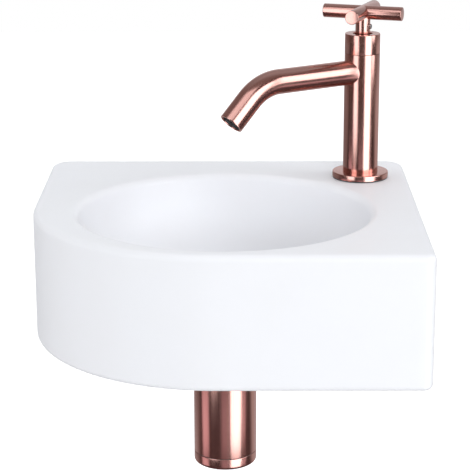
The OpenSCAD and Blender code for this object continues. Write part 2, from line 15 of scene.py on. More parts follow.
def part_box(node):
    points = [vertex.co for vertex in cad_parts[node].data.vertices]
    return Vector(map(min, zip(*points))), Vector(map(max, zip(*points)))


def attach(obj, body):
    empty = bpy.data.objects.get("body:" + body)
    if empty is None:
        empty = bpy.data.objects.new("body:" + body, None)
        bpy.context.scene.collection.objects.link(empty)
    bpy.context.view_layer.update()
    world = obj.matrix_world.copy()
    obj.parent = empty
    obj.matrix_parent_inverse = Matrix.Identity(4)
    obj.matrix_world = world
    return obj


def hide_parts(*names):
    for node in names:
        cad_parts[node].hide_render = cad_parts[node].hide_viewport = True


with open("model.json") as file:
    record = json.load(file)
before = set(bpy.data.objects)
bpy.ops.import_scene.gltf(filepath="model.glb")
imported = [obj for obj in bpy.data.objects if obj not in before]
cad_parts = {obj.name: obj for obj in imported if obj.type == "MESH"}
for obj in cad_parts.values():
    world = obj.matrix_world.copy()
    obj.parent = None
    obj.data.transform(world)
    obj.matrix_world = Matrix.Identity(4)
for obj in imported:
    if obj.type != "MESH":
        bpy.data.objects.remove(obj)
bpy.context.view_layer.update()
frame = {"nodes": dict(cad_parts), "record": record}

bl_info = {
    "name": "Hand basin with tap and bottle trap",
    "version": (1, 0, 0),
    "blender": (4, 5, 0),
    "location": "View3D > Sidebar > Hand basin",
    "description": "Builds a ceramic hand basin, its tap, its waste and its trap",
    "category": "Object",
}

SLOT = {row["node"]: row["material_slot"] for row in frame["record"]["subparts"]}
BODIES = frame["record"]["behaviour"]["bodies"]
BODY = {cad: body for body, members in BODIES.items() for cad in members}
mm = 0.001


def middle(cad):
    """Centre of a packed node's box."""
    low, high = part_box(cad)
    return (low + high) / 2


def span(cad, axis=2):
    """Lowest and highest place of a packed node along an axis, upright if none is given."""
    low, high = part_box(cad)
    return low[axis], high[axis]


RIM = span("basin_ceramic")[1]
DRAIN = middle("waste_cover")
TAP = middle("tap_sleeve")
PLAY = 0.1 * mm             # between pieces that screw or slide together
SEAL_PLAY = 0.4 * mm        # between a thread and the seal or washer on it
SAME_POINT = 1e-7           # corners nearer than this are one corner
BOWL_FULLNESS = 2.4         # 2 would make the bowl's side an ellipse, and more makes it fuller
MOUTH_WIDER = 0.0098        # share by which the bowl's mouth is wider than a circle
MOUTH_SHORTER = 0.0102      # share by which it is shorter from front to back
TAIL_PITCH = 1.814 * mm     # half inch pipe thread
WASTE_PITCH = 2.309 * mm    # one and a quarter inch pipe thread
WHITE = (1, 1, 1, 1)
BLACK = (0, 0, 0, 1)
COOL = (0.93, 1.0, 1.04)    # tint of the cards that the copper reflects
WARM = (1.12, 0.86, 0.95)   # tint of the three lowest cards
AIM = Vector((0.05, -0.11, 0))      # a point in the bowl, round which the lamps hang
CARD_DISTANCE = 1.7
CAMERA_SIDE = 11.98 * mm
CAMERA_TILT, CAMERA_TURN, CAMERA_ROLL = radians(16.009), radians(0.229), radians(-0.116)
SENSOR = 36.0               # width in millimetres


# Sizes and colours that a user may change

def length(name, description, default, low=0.0, high=1.0):
    return FloatProperty(name=name, description=description, default=default, min=low,
                         max=high, subtype="DISTANCE", unit="LENGTH")


def angle(name, description, degrees):
    return FloatProperty(name=name, description=description, default=radians(degrees), min=-pi,
                         max=pi, subtype="ANGLE")


def colour(name, description, *default):
    return FloatVectorProperty(name=name, description=description, default=(*default, 1),
                               size=4, min=0.0, max=1.0, subtype="COLOR")


def power(name, description, default):
    return FloatProperty(name=name, description=description, default=default, min=0, max=500,
                         unit="POWER")


class BasinSizes(bpy.types.PropertyGroup):
    """Sizes of the ceramic basin."""
    width: length("Width", "Width along the wall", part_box("basin_ceramic")[1].x * 2)
    depth: length("Depth", "Reach from the wall", -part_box("basin_ceramic")[0].y)
    height: length("Height", "Foot of the skirt to the rim", RIM - span("basin_ceramic")[0])
    arc: length("Round corner", "Plan radius of the broad front corner", 142 * mm)
    front_corner: length("Front corner", "Plan radius of the small front corner", 8 * mm)
    back_corner: length("Wall corners", "Plan radius of the corners at the wall", 16 * mm)
    top_edge: length("Rim edge", "Rounding of the rim's outer edge", 5 * mm)
    foot_edge: length("Foot edge", "Rounding of the foot's outer edge", 4 * mm)
    wall: length("Wall", "Thickness of the skirt", 9 * mm)
    deck: length("Deck", "Thickness of the flat top", 12 * mm)
    bowl: length("Bowl radius", "Radius of the bowl's wall under the lip", 111.5 * mm)
    bowl_depth: length("Bowl depth", "Depth of the bowl at the waste", 66 * mm)
    lip: length("Lip", "Rounding between the deck and the bowl", 6 * mm)
    shell: length("Shell", "Thickness of the bowl", 10 * mm)
    recess: length("Recess radius", "Radius of the recess round the waste", 33 * mm)
    recess_depth: length("Recess depth", "Depth of that recess", 3 * mm)
    drain: length("Drain radius", "Radius of the drain hole", 22.5 * mm)
    floor: length("Floor", "Thickness under the recess", 9 * mm)
    fixing: length("Fixing hole", "Radius of a wall fixing hole", 6.5 * mm)
    fixing_spacing: length("Fixing spacing", "Distance between the fixing holes", 160 * mm)
    tap_hole: length("Tap hole", "Radius of the tap hole", 17.5 * mm)


class TapSizes(bpy.types.PropertyGroup):
    """Sizes of the tap and its handle."""
    body: length("Body radius", "Radius of the tap's body", 14.4 * mm)
    plate: length("Plate radius", "Radius of the base plate", 23 * mm)
    spout: length("Spout radius", "Outer radius of the spout", 9.95 * mm)
    spout_wall: length("Spout wall", "Wall of the spout", 1.6 * mm)
    spout_height: length("Spout height", "Height of the level part above the rim", 88.8 * mm)
    spout_reach: length("Spout reach", "Tap's axis to the start of the bend", 82.5 * mm)
    spout_bend: length("Bend radius", "Radius of the bend", 40 * mm)
    spout_end: length("Spout end", "Straight length after the bend", 24.2 * mm)
    spout_turn: angle("Spout turn", "Turn away from the wall's line", 33.5)
    spout_droop: angle("Spout droop", "Angle of the bend", 45)
    handle_turn: angle("Handle turn", "Turn of the closed handle", -20)
    bar: length("Bar radius", "Radius of a cross bar", 5.55 * mm)
    bar_length: length("Bar length", "Length of a cross bar", 65.4 * mm)
    bar_height: length("Bar height", "Height of the cross above the rim", 136.9 * mm)
    stem: length("Stem radius", "Radius of the handle's stem", 6 * mm)
    tail: length("Tail radius", "Outer radius of the threaded tail", 10.475 * mm)
    tail_bore: length("Tail bore", "Bore radius of the tail", 6 * mm)


class DrainSizes(bpy.types.PropertyGroup):
    """Sizes of the waste, the trap and the pipe to the wall."""
    flange: length("Flange radius", "Radius of the waste flange", 31 * mm)
    tail: length("Waste tail radius", "Outer radius of the waste's threaded tail", 20.95 * mm)
    bore: length("Waste bore", "Bore radius of the waste", 18.05 * mm)
    trap: length("Trap radius", "Outer radius of the bottle trap", 24.9 * mm)
    cap_edge: length("Cap edge", "Rounding of the clean-out cap", 2.5 * mm)
    pipe: length("Pipe radius", "Outer radius of the outlet pipe", 16 * mm)
    pipe_wall: length("Pipe wall", "Wall of the outlet pipe", 1.2 * mm)
    rosette: length("Rosette radius", "Radius of the wall rosette", 30 * mm)


class Finishes(bpy.types.PropertyGroup):
    """Colours of the finishes."""
    glaze: colour("Glaze", "White glaze", 0.86, 0.875, 0.91)
    glaze_thin: colour("Thin glaze", "Glaze where it runs thin", 0.80, 0.80, 0.80)
    bisque: colour("Bisque", "Unglazed ceramic on the foot and the back", 0.74, 0.70, 0.64)
    copper: colour("Copper", "Satin copper plating", 0.82, 0.455, 0.395)
    copper_deep: colour("Deep copper", "Copper in the brushing's furrows", 0.69, 0.35, 0.30)
    brass: colour("Brass", "Turned brass", 0.80, 0.62, 0.33)
    brass_deep: colour("Deep brass", "Brass in the tool marks", 0.62, 0.44, 0.20)
    steel: colour("Steel", "Stainless steel", 0.62, 0.61, 0.60)
    # The deep steel is the colour in the tool marks, darkened further as painted shade so that the
    # spout's mouth reads dark
    steel_furrow_shade: colour("Deep steel", "Steel in the tool marks", 0.42, 0.41, 0.41)
    rubber: colour("Rubber", "Black rubber", 0.028, 0.028, 0.030)
    rubber_bloom: colour("Rubber bloom", "Pale bloom on the rubber", 0.075, 0.075, 0.078)
    plastic: colour("Plastic", "White moulded plastic", 0.80, 0.80, 0.77)
    dark_plastic: colour("Dark plastic", "Black moulded plastic", 0.030, 0.030, 0.032)
    disc: colour("Disc", "Lapped valve ceramic", 0.78, 0.75, 0.68)
    floor: colour("Floor", "Pale studio floor", 0.72, 0.72, 0.72)


class Studio(bpy.types.PropertyGroup):
    """Lamps and camera."""
    right_power: power("Right card", "Power of the tall card at the right", 30.8)
    side_power: power("Side card", "Power of the narrow card further right", 7.3)
    left_power: power("Left card", "Power of the tall card at the left", 8.7)
    high_power: power("High card", "Power of the card high at the left", 5.5)
    low_power: power("Low cards", "Power of the low card at the left", 1.15)
    front_fill: power("Front fill", "Power of the soft lamp in front", 39.0)
    low_fill: power("Low fill", "Power of the soft lamp low in front", 6.0)
    right_fill: power("Right fill", "Power of the soft lamp high at the right", 27.0)
    left_fill: power("Left fill", "Power of the soft lamp at the left", 46.0)
    top_fill: power("Top fill", "Power of the soft lamp overhead", 7.5)
    back_fill: power("Back fill", "Power of the soft lamp high behind", 4.8)
    room: FloatProperty(name="Room light", description="Soft light from the room", default=0.40,
                        min=0, max=5)
    lens: FloatProperty(name="Lens", description="Focal length", default=0.1302, min=0.01,
                        max=1.0, subtype="DISTANCE_CAMERA", unit="CAMERA")
    camera_height: length("Camera height", "Height of the camera", 382.8 * mm, -10, 10)
    camera_distance: length("Camera distance", "Distance from the wall's plane", 1.4304, 0, 20)
    floor_drop: length("Floor", "Height of the rim above the floor", 1.35, 0.1, 3)


# Finishes

class Wiring:
    """Adds shader nodes to a tree and hands out their outputs."""

    def __init__(self, tree):
        self.tree = tree

    def join(self, value, socket):
        """Links an output to a socket, or sets the socket where the value is a plain one."""
        if isinstance(value, bpy.types.NodeSocket):
            self.tree.links.new(value, socket)
        else:
            socket.default_value = value

    def node(self, kind, **values):
        """Adds a node and fills the sockets of those names. After set_ comes a setting."""
        made = self.tree.nodes.new("ShaderNode" + kind)
        for key, value in values.items():
            if key.startswith("set_"):
                setattr(made, key[4:], value)
            else:
                name = key.replace("_", " ")
                self.join(value, next(s for s in made.inputs if s.name == name and s.enabled))
        return made

    def maths(self, operation, a, b, clamp=False):
        made = self.node("Math", set_operation=operation, set_use_clamp=clamp)
        self.join(a, made.inputs[0])
        self.join(b, made.inputs[1])
        return made.outputs[0]

    def times(self, a, b):
        return self.maths("MULTIPLY", a, b)

    def plus(self, a, b):
        return self.maths("ADD", a, b)

    def blend(self, a, share_a, b, share_b):
        """Adds two values, each times its share."""
        return self.plus(self.times(a, share_a), self.times(b, share_b))

    def ranged(self, value, low, high, to_low=0.0, to_high=1.0, smooth=False):
        """Maps a value from one range to another, within which it stays."""
        return self.node(
            "MapRange", set_interpolation_type="SMOOTHSTEP" if smooth else "LINEAR", Value=value,
            From_Min=low, From_Max=high, To_Min=to_low, To_Max=to_high).outputs[0]

    def mixed(self, share, a, b):
        """Mixes two colours by a share."""
        made = self.node("Mix", set_data_type="RGBA")
        for index, value in ((0, share), (6, a), (7, b)):
            self.join(value, made.inputs[index])
        return made.outputs[2]

    def noise(self, place, scale, detail, roughness):
        return self.node("TexNoise", Vector=place, Scale=scale, Detail=detail,
                         Roughness=roughness).outputs[0]

    def streaks(self, grain, across, along, detail, roughness):
        """Noise that is fine across the grain and long in its Z."""
        made = self.node("VectorMath", set_operation="MULTIPLY", Vector=grain)
        made.inputs[1].default_value = (across, across, along)
        return self.noise(made.outputs[0], 1.0, detail, roughness)

    def parts(self, vector):
        return self.node("SeparateXYZ", Vector=vector).outputs

    def place(self):
        return self.node("TexCoord").outputs["Object"]

    def rays(self):
        """The share of camera rays, and the share of rays that metal or glass sends on."""
        path = self.node("LightPath").outputs
        return path["Is Camera Ray"], self.maths("MAXIMUM", path["Is Glossy Ray"],
                                                 path["Is Transmission Ray"])


def new_group(name, inputs, outputs=("Colour", "Roughness", "Height")):
    """Starts a node group. An input's kind follows from its default, and None is a vector."""
    tree = bpy.data.node_groups.new(name, "ShaderNodeTree")
    kinds = {type(None): "NodeSocketVector", float: "NodeSocketFloat", tuple: "NodeSocketColor"}
    for socket, default in inputs.items():
        made = tree.interface.new_socket(name=socket, in_out="INPUT",
                                         socket_type=kinds[type(default)])
        if default is not None:
            made.default_value = default
    for socket in outputs:
        kind = "NodeSocketColor" if socket == "Colour" else "NodeSocketFloat"
        tree.interface.new_socket(name=socket, in_out="OUTPUT", socket_type=kind)
    given = tree.nodes.new("NodeGroupInput").outputs
    return tree, Wiring(tree), given, tree.nodes.new("NodeGroupOutput").inputs


def streaks_group():
    """Hair lines of a brushed or turned metal, long in the grain's Z."""
    name = "Hair lines"
    if name in bpy.data.node_groups:
        return bpy.data.node_groups[name]
    tree, w, given, out = new_group(name, {
        "Grain": None, "Light Colour": WHITE, "Deep Colour": BLACK, "Edge": 0.0,
        "Smoothest": 0.2, "Roughest": 0.35})
    fine = w.streaks(given["Grain"], 3200, 12, 3.0, 0.65)
    broad = w.streaks(given["Grain"], 620, 3, 2.0, 0.5)
    cloud = w.streaks(given["Grain"], 90, 25, 3.0, 0.55)
    lines = w.blend(fine, 0.62, broad, 0.38)
    share = w.ranged(w.blend(lines, 0.9, cloud, 0.1), 0.36, 0.62)
    # Rounded edges take the light colour: partly rubbed wear, partly a painted highlight along the
    # edge
    wear_and_highlight = w.maths("MAXIMUM", share, w.times(given["Edge"], 0.9), clamp=True)
    w.join(w.mixed(wear_and_highlight, given["Deep Colour"], given["Light Colour"]), out["Colour"])
    w.join(w.ranged(w.blend(lines, 0.8, cloud, 0.2), 0.35, 0.65, given["Smoothest"],
                    given["Roughest"]), out["Roughness"])
    w.join(w.blend(fine, 0.8, broad, 0.03), out["Height"])
    return tree


def mottle_group():
    """Soft clouds and a fine grain on moulded or lapped surfaces and on the floor."""
    name = "Mottle"
    if name in bpy.data.node_groups:
        return bpy.data.node_groups[name]
    tree, w, given, out = new_group(name, {
        "Place": None, "Cloud Scale": 40.0, "Grain Scale": 900.0, "Colour A": WHITE,
        "Colour B": BLACK, "Smoothest": 0.3, "Roughest": 0.5})
    cloud = w.noise(given["Place"], given["Cloud Scale"], 4.0, 0.55)
    grain = w.noise(given["Place"], given["Grain Scale"], 2.0, 0.6)
    share = w.ranged(w.blend(cloud, 0.75, grain, 0.25), 0.38, 0.64)
    w.join(w.mixed(share, given["Colour A"], given["Colour B"]), out["Colour"])
    w.join(w.ranged(share, 0.0, 1.0, given["Smoothest"], given["Roughest"]), out["Roughness"])
    w.join(w.plus(w.times(cloud, 0.3), grain), out["Height"])
    return tree


def glaze_group():
    """Fired glaze: faint orange peel, clouds and pinholes, and a bare back and foot."""
    name = "Fired glaze"
    if name in bpy.data.node_groups:
        return bpy.data.node_groups[name]
    tree, w, given, out = new_group(name, {
        "Place": None, "Facing": None, "Glaze": WHITE, "Thin": WHITE, "Bisque": WHITE,
        "Foot Height": 0.0}, ("Colour", "Roughness", "Coat", "Height"))
    place, facing = w.parts(given["Place"]), w.parts(given["Facing"])
    wander = w.noise(given["Place"], 26.0, 3.0, 0.5)
    drift = w.times(w.maths("SUBTRACT", wander, 0.5), 4 * mm)
    low = w.plus(w.maths("SUBTRACT", place["Z"], given["Foot Height"]), drift)
    foot = w.times(w.ranged(low, 1.2 * mm, 0.6 * mm), w.ranged(facing["Z"], -0.8, -0.95))
    behind = w.times(w.ranged(w.plus(place["Y"], drift), -2.6 * mm, -2.0 * mm),
                     w.ranged(facing["Y"], 0.7, 0.9))
    bare = w.maths("MAXIMUM", foot, behind, clamp=True)
    glazed = w.maths("SUBTRACT", 1.0, bare)
    peel = w.noise(given["Place"], 170.0, 2.0, 0.45)
    grit = w.noise(given["Place"], 1500.0, 3.0, 0.7)
    specks = w.node("TexVoronoi", Vector=given["Place"], Scale=130.0, Randomness=1.0).outputs
    pinhole = w.ranged(specks["Distance"], 0.035, 0.02)
    tone = w.ranged(wander, 0.35, 0.7, 0.0, 0.12)
    white = w.mixed(w.maths("MAXIMUM", tone, w.times(pinhole, 0.3)), given["Glaze"],
                    given["Thin"])
    clay = w.mixed(w.ranged(grit, 0.3, 0.7, 0.0, 0.35), given["Bisque"], given["Thin"])
    w.join(w.mixed(bare, white, clay), out["Colour"])
    w.join(w.blend(w.ranged(peel, 0.3, 0.7, 0.48, 0.58), glazed, bare, 0.82), out["Roughness"])
    w.join(w.times(glazed, 0.1), out["Coat"])
    w.join(w.blend(peel, 0.5, w.times(bare, grit), 0.5), out["Height"])
    return tree


def new_material(name):
    made = bpy.data.materials.new(name)
    made.use_nodes = True
    return made, Wiring(made.node_tree), made.node_tree.nodes["Principled BSDF"]


def surfaced(w, shader, got, depth, strength):
    """Gives a shader the colour, the roughness and the height of a group."""
    w.join(got["Colour"], shader.inputs["Base Color"])
    w.join(got["Roughness"], shader.inputs["Roughness"])
    bump = w.node("Bump", Height=got["Height"], Distance=depth, Strength=strength)
    w.join(bump.outputs[0], shader.inputs["Normal"])


def metal(name, light, deep, smoothest, roughest, depth, grained=True):
    """Brushed or turned metal. A packed node has no grain of its own and uses its place."""
    if name in bpy.data.materials:
        return bpy.data.materials[name]
    made, w, shader = new_material(name)
    if grained:
        grain = w.node("Attribute", set_attribute_name="grain").outputs["Vector"]
        edge = w.node("Attribute", set_attribute_name="edge").outputs["Fac"]
    else:
        grain, edge = w.place(), 0.0
    lines = w.node("Group", set_node_tree=streaks_group(), Grain=grain, Light_Colour=light,
                   Deep_Colour=deep, Edge=edge, Smoothest=smoothest, Roughest=roughest).outputs
    shader.inputs["Metallic"].default_value = 1.0
    surfaced(w, shader, lines, depth, 0.5)
    return made


def moulded(name, a, b, cloud, grain, smoothest, roughest, depth):
    """Rubber, plastic or lapped ceramic."""
    if name in bpy.data.materials:
        return bpy.data.materials[name]
    made, w, shader = new_material(name)
    got = w.node("Group", set_node_tree=mottle_group(), Place=w.place(), Cloud_Scale=cloud,
                 Grain_Scale=grain, Colour_A=a, Colour_B=b, Smoothest=smoothest,
                 Roughest=roughest).outputs
    surfaced(w, shader, got, depth, 0.4)
    return made


def chosen(name, share=1.0):
    """A colour of the finishes, darkened or lightened by a share."""
    return tuple(share * v for v in getattr(bpy.context.scene.basin_finishes, name)[:3]) + (1,)


def brushed_copper():
    return metal("Brushed copper", chosen("copper"), chosen("copper_deep"), 0.15, 0.26, 0.02 * mm)


def turned_brass(grained=True):
    return metal("Turned brass" if grained else "Plain brass", chosen("brass"),
                 chosen("brass_deep"), 0.24, 0.42, 0.03 * mm, grained)


def stainless(grained=True):
    # Its deep colour is partly the tool marks and partly painted shade for the spout's mouth
    return metal("Turned stainless" if grained else "Plain stainless", chosen("steel"),
                 chosen("steel_furrow_shade"), 0.22, 0.40, 0.02 * mm, grained)


def black_rubber():
    return moulded("Black rubber", chosen("rubber"), chosen("rubber_bloom"), 120, 2200, 0.48,
                   0.68, 0.04 * mm)


def white_plastic():
    return moulded("White plastic", chosen("plastic"), chosen("plastic", 0.93), 60, 1600, 0.35,
                   0.5, 0.02 * mm)


def black_plastic():
    return moulded("Black plastic", chosen("dark_plastic"), chosen("dark_plastic", 1.7), 60,
                   1600, 0.38, 0.52, 0.02 * mm)


def valve_ceramic():
    return moulded("Valve ceramic", chosen("disc"), chosen("disc", 0.9), 300, 3000, 0.12, 0.22,
                   0.01 * mm)


def white_glaze():
    name = "White glaze"
    if name in bpy.data.materials:
        return bpy.data.materials[name]
    made, w, shader = new_material(name)
    got = w.node("Group", set_node_tree=glaze_group(), Place=w.place(),
                 Facing=w.node("NewGeometry").outputs["Normal"], Glaze=chosen("glaze"),
                 Thin=chosen("glaze_thin"), Bisque=chosen("bisque"),
                 Foot_Height=span("basin_ceramic")[0]).outputs
    w.join(got["Coat"], shader.inputs["Coat Weight"])
    shader.inputs["Coat Roughness"].default_value = 0.3
    surfaced(w, shader, got, 0.12 * mm, 0.35)
    return made


FINISHES = {"white_glaze": white_glaze, "brushed_copper": brushed_copper,
            "plain_brass": turned_brass, "stainless": stainless, "black_rubber": black_rubber,
            "valve_ceramic": valve_ceramic, "white_plastic": white_plastic,
            "black_plastic": black_plastic}
TURNED_METALS = ("plain_brass", "stainless")


# Modelling helpers

def at(point, height=RIM):
    return Matrix.Translation((point.x, point.y, height))


def shift(x, y, z):
    return Matrix.Translation((x, y, z))


def rotate(turn, axis="Z"):
    return Matrix.Rotation(turn, 4, axis)


def half_width(cad, centre):
    """Reach of a packed node in X from the axis that it is round about."""
    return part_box(cad)[1].x - centre.x


def quarter(steps, first=0):
    """Angles over a quarter of a turn, in even steps."""
    return [radians(90 * i / steps) for i in range(first, steps + 1)]


def grain_layer(bm):
    return bm.loops.layers.float_vector.get("grain") or bm.loops.layers.float_vector.new("grain")


def edge_layer(bm):
    return bm.loops.layers.float.get("edge") or bm.loops.layers.float.new("edge")


def face_grain(point):
    """Grain that runs round a flat face."""
    return hypot(point.x, point.y), 0, 0.5 * point.x


def turned(bm, profile, place=Matrix(), steps=96, segments=4):
    """Spins a profile round Z, rounds its corners and places it.

    A corner is a radius and a height, with a rounding after them where it has one. A profile
    that starts on the axis ends there too, and any other closes on itself. The grain runs
    along the walls and round the flat faces, as a lathe and a belt leave it.
    """
    grain, edge = grain_layer(bm), edge_layer(bm)
    old_verts, old_faces = set(bm.verts), set(bm.faces)
    chain = [bm.verts.new((corner[0], 0, corner[1])) for corner in profile]
    edges = [bm.edges.new(pair) for pair in zip(chain, chain[1:])]
    if profile[0][0] > 0:
        edges.append(bm.edges.new((chain[-1], chain[0])))
    bmesh.ops.spin(bm, geom=chain + edges, cent=(0, 0, 0), axis=(0, 0, 1), dvec=(0, 0, 0),
                   angle=2 * pi, steps=steps, use_merge=True, use_duplicate=False)
    bmesh.ops.remove_doubles(bm, verts=[v for v in bm.verts if v not in old_verts],
                             dist=SAME_POINT)
    rounded = set()
    for r, z, size in (corner for corner in profile if len(corner) == 3):
        ring = [e for e in bm.edges if e.verts[0] not in old_verts and all(
            abs(hypot(v.co.x, v.co.y) - r) < 2 * SAME_POINT
            and abs(v.co.z - z) < 2 * SAME_POINT for v in e.verts)]
        rounded.update(bmesh.ops.bevel(
            bm, geom=ring, offset=size, offset_type="OFFSET", segments=segments, profile=0.5,
            affect="EDGES", material=-1)["faces"])
    faces = [f for f in bm.faces if f not in old_faces]
    bmesh.ops.recalc_face_normals(bm, faces=faces)
    for f in faces:
        flat = abs(f.normal.z) > 0.75
        for corner in f.loops:
            corner[grain] = face_grain(corner.vert.co) if flat else corner.vert.co
            # Rounded faces are marked for the metal's lighter edge colour, which is wear and
            # painted highlight
            corner[edge] = 1.0 if f in rounded else 0.0
    bmesh.ops.transform(bm, matrix=place, verts=[v for v in bm.verts if v not in old_verts])


def thread(radius, top, bottom, pitch, depth):
    """Profile of a thread's crests and roots between two heights, drawn as rings."""
    profile = []
    for k in range(int((top - bottom) / pitch)):
        z = top - k * pitch
        profile += [(radius, z), (radius, z - 0.15 * pitch),
                    (radius - depth, z - 0.5 * pitch), (radius - depth, z - 0.65 * pitch)]
    return profile


def loop_edges(bm, verts):
    """Edges of a closed loop of corners, in its order, so that each run gives the same mesh."""
    return [bm.edges.get(pair) for pair in zip(verts, verts[1:] + verts[:1])]


def ring_step(bm, verts, points):
    """Extrudes a closed loop of corners and puts the new ones, in the same order, at the points."""
    out = bmesh.ops.extrude_edge_only(bm, edges=loop_edges(bm, verts))["geom"]
    fresh = {g for g in out if isinstance(g, bmesh.types.BMVert)}
    moved = [next(e.other_vert(v) for e in v.link_edges if e.other_vert(v) in fresh)
             for v in verts]
    for v, point in zip(moved, points):
        v.co = point
    return moved


def skinned(bm, rings, capped=False):
    """Draws a skin over rings of points, each extruded from the one before."""
    first = bmesh.ops.create_circle(bm, segments=len(rings[0]), radius=1.0)["verts"]
    for v, point in zip(first, rings[0]):
        v.co = point
    if capped:
        bmesh.ops.edgeloop_fill(bm, edges=loop_edges(bm, first))
    stack = [first]
    for points in rings[1:]:
        stack.append(ring_step(bm, stack[-1], points))
    if capped:
        bmesh.ops.edgeloop_fill(bm, edges=loop_edges(bm, stack[-1]))
    return stack


def cylinder(bm, radius, low, high, place, sides):
    made = bmesh.ops.create_cone(bm, cap_ends=True, segments=sides, radius1=radius,
                                 radius2=radius, depth=high - low)["verts"]
    bmesh.ops.transform(bm, matrix=place @ shift(0, 0, (low + high) / 2), verts=made)


def block(bm, low, high, place, rounding):
    low, high = Vector(low), Vector(high)
    made = bmesh.ops.create_cube(bm, size=1.0)["verts"]
    bmesh.ops.transform(bm, matrix=place @ Matrix.Translation((low + high) / 2)
                        @ Matrix.Diagonal((*(high - low), 1)), verts=made)
    bmesh.ops.bevel(bm, geom=[e for e in bm.edges if e.verts[0] in made], offset=rounding,
                    segments=2, profile=0.5, affect="EDGES", material=-1)


def smoothed(mesh, crease=34):
    """Shades a mesh smooth, and sharp where faces meet at more than so many degrees."""
    mesh.shade_smooth()
    mesh.set_sharp_from_angle(angle=radians(crease))


def finished(name, bm, cad, crease=34):
    """Makes the piece that stands for a packed node, with that node's finish and body."""
    mesh = bpy.data.meshes.new(name)
    bm.to_mesh(mesh)
    bm.free()
    mesh.materials.append(FINISHES[SLOT[cad]]())
    smoothed(mesh, crease)
    piece = bpy.data.objects.new(name, mesh)
    bpy.context.scene.collection.objects.link(piece)
    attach(piece, BODY[cad])
    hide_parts(cad)
    return piece


def lathe(name, cad, profile, place, crease=34, **detail):
    """Turns a profile into the piece that stands for a packed node."""
    bm = bmesh.new()
    turned(bm, profile, place, **detail)
    return finished(name, bm, cad, crease)


def washer(name, cad, inner, outer, rounding, place, segments=3):
    """Turns a seal or a washer between two radii, with a rounded outer edge."""
    low, high = span(cad)
    lathe(name, cad, [(inner, low), (outer, low, rounding), (outer, high, rounding),
                      (inner, high)], place, segments=segments)


def hex_nut(name, cad, flats, bore, place):
    """Cuts a six-sided nut with turned chamfers and a round bore."""
    low, high = span(cad)
    bm = bmesh.new()
    grain, edge = grain_layer(bm), edge_layer(bm)
    steps, chamfer = 96, 1.3 * mm
    corner = flats / sqrt(3)
    chamfered = 0.955 * corner
    skins = []
    for limit, z in ((bore, low), (chamfered, low), (corner, low + chamfer),
                     (corner, high - chamfer), (chamfered, high), (bore, high), (bore, low)):
        ring = []
        for i in range(steps):
            a = 2 * pi * i / steps
            side = flats / 2 / cos((a + pi / 6) % (pi / 3) - pi / 6)
            r = bore if limit == bore else min(side, limit)
            ring.append(Vector((r * cos(a), r * sin(a), z)))
        skins.append(ring)
    skinned(bm, skins)
    bmesh.ops.remove_doubles(bm, verts=bm.verts[:], dist=SAME_POINT)
    bmesh.ops.recalc_face_normals(bm, faces=bm.faces[:])
    for f in bm.faces:
        for c in f.loops:
            c[grain] = face_grain(c.vert.co)
            c[edge] = 0.0
    bmesh.ops.transform(bm, matrix=place, verts=bm.verts[:])
    finished(name, bm, cad, crease=20)


def drilled(piece, holes):
    """Cuts holes, each given as a radius, two ends, a place and a number of sides."""
    bm = bmesh.new()
    for hole in holes:
        cylinder(bm, *hole)
    mesh = bpy.data.meshes.new("cutter")
    bm.to_mesh(mesh)
    bm.free()
    cutter = bpy.data.objects.new("cutter", mesh)
    bpy.context.scene.collection.objects.link(cutter)
    cut = piece.modifiers.new("holes", "BOOLEAN")
    cut.operation, cut.solver, cut.object = "DIFFERENCE", "EXACT", cutter
    bpy.context.view_layer.update()
    graph = bpy.context.evaluated_depsgraph_get()
    done = bpy.data.meshes.new_from_object(piece.evaluated_get(graph))
    piece.modifiers.remove(cut)
    whole, piece.data = piece.data, done
    bpy.data.meshes.remove(whole)
    done.name = piece.name
    smoothed(done)
    bpy.data.objects.remove(cutter)
    bpy.data.meshes.remove(mesh)


# The pieces

def outline(s, inset):
    """Plan of the basin drawn in by an amount, as points from the broad corner round."""
    w, d = s.width / 2, s.depth
    # Each corner has its radius, start angle, steps round it and steps along the side after it
    corners = (((-w, -d), s.arc, 180, 56, 24), ((w, -d), s.front_corner, 270, 10, 36),
               ((w, 0), s.back_corner, 0, 10, 36), ((-w, 0), s.back_corner, 90, 10, 20))
    arcs = []
    for (x, y), r, start, steps, run in corners:
        reach = max(r, inset + 1 * mm)
        cx, cy = x + (reach if x < 0 else -reach), y + (reach if y < 0 else -reach)
        arcs.append(([(cx + (reach - inset) * cos(radians(start + 90 * i / steps)),
                       cy + (reach - inset) * sin(radians(start + 90 * i / steps)))
                      for i in range(steps + 1)], run))
    points = []
    for k, (arc, run) in enumerate(arcs):
        points += arc
        (x0, y0), (x1, y1) = arc[-1], arcs[(k + 1) % 4][0][0]
        points += [(x0 + (x1 - x0) * i / run, y0 + (y1 - y0) * i / run) for i in range(1, run)]
    return points


def bowl_side(s, grow, degrees):
    """Radius and depth of the bowl's side, grown outwards, from its lip at 0 to its foot at 90."""
    p = 2 / BOWL_FULLNESS
    return (s.recess + (s.bowl + grow - s.recess) * cos(radians(degrees)) ** p,
            -s.lip - (s.bowl_depth + grow - s.lip) * sin(radians(degrees)) ** p)


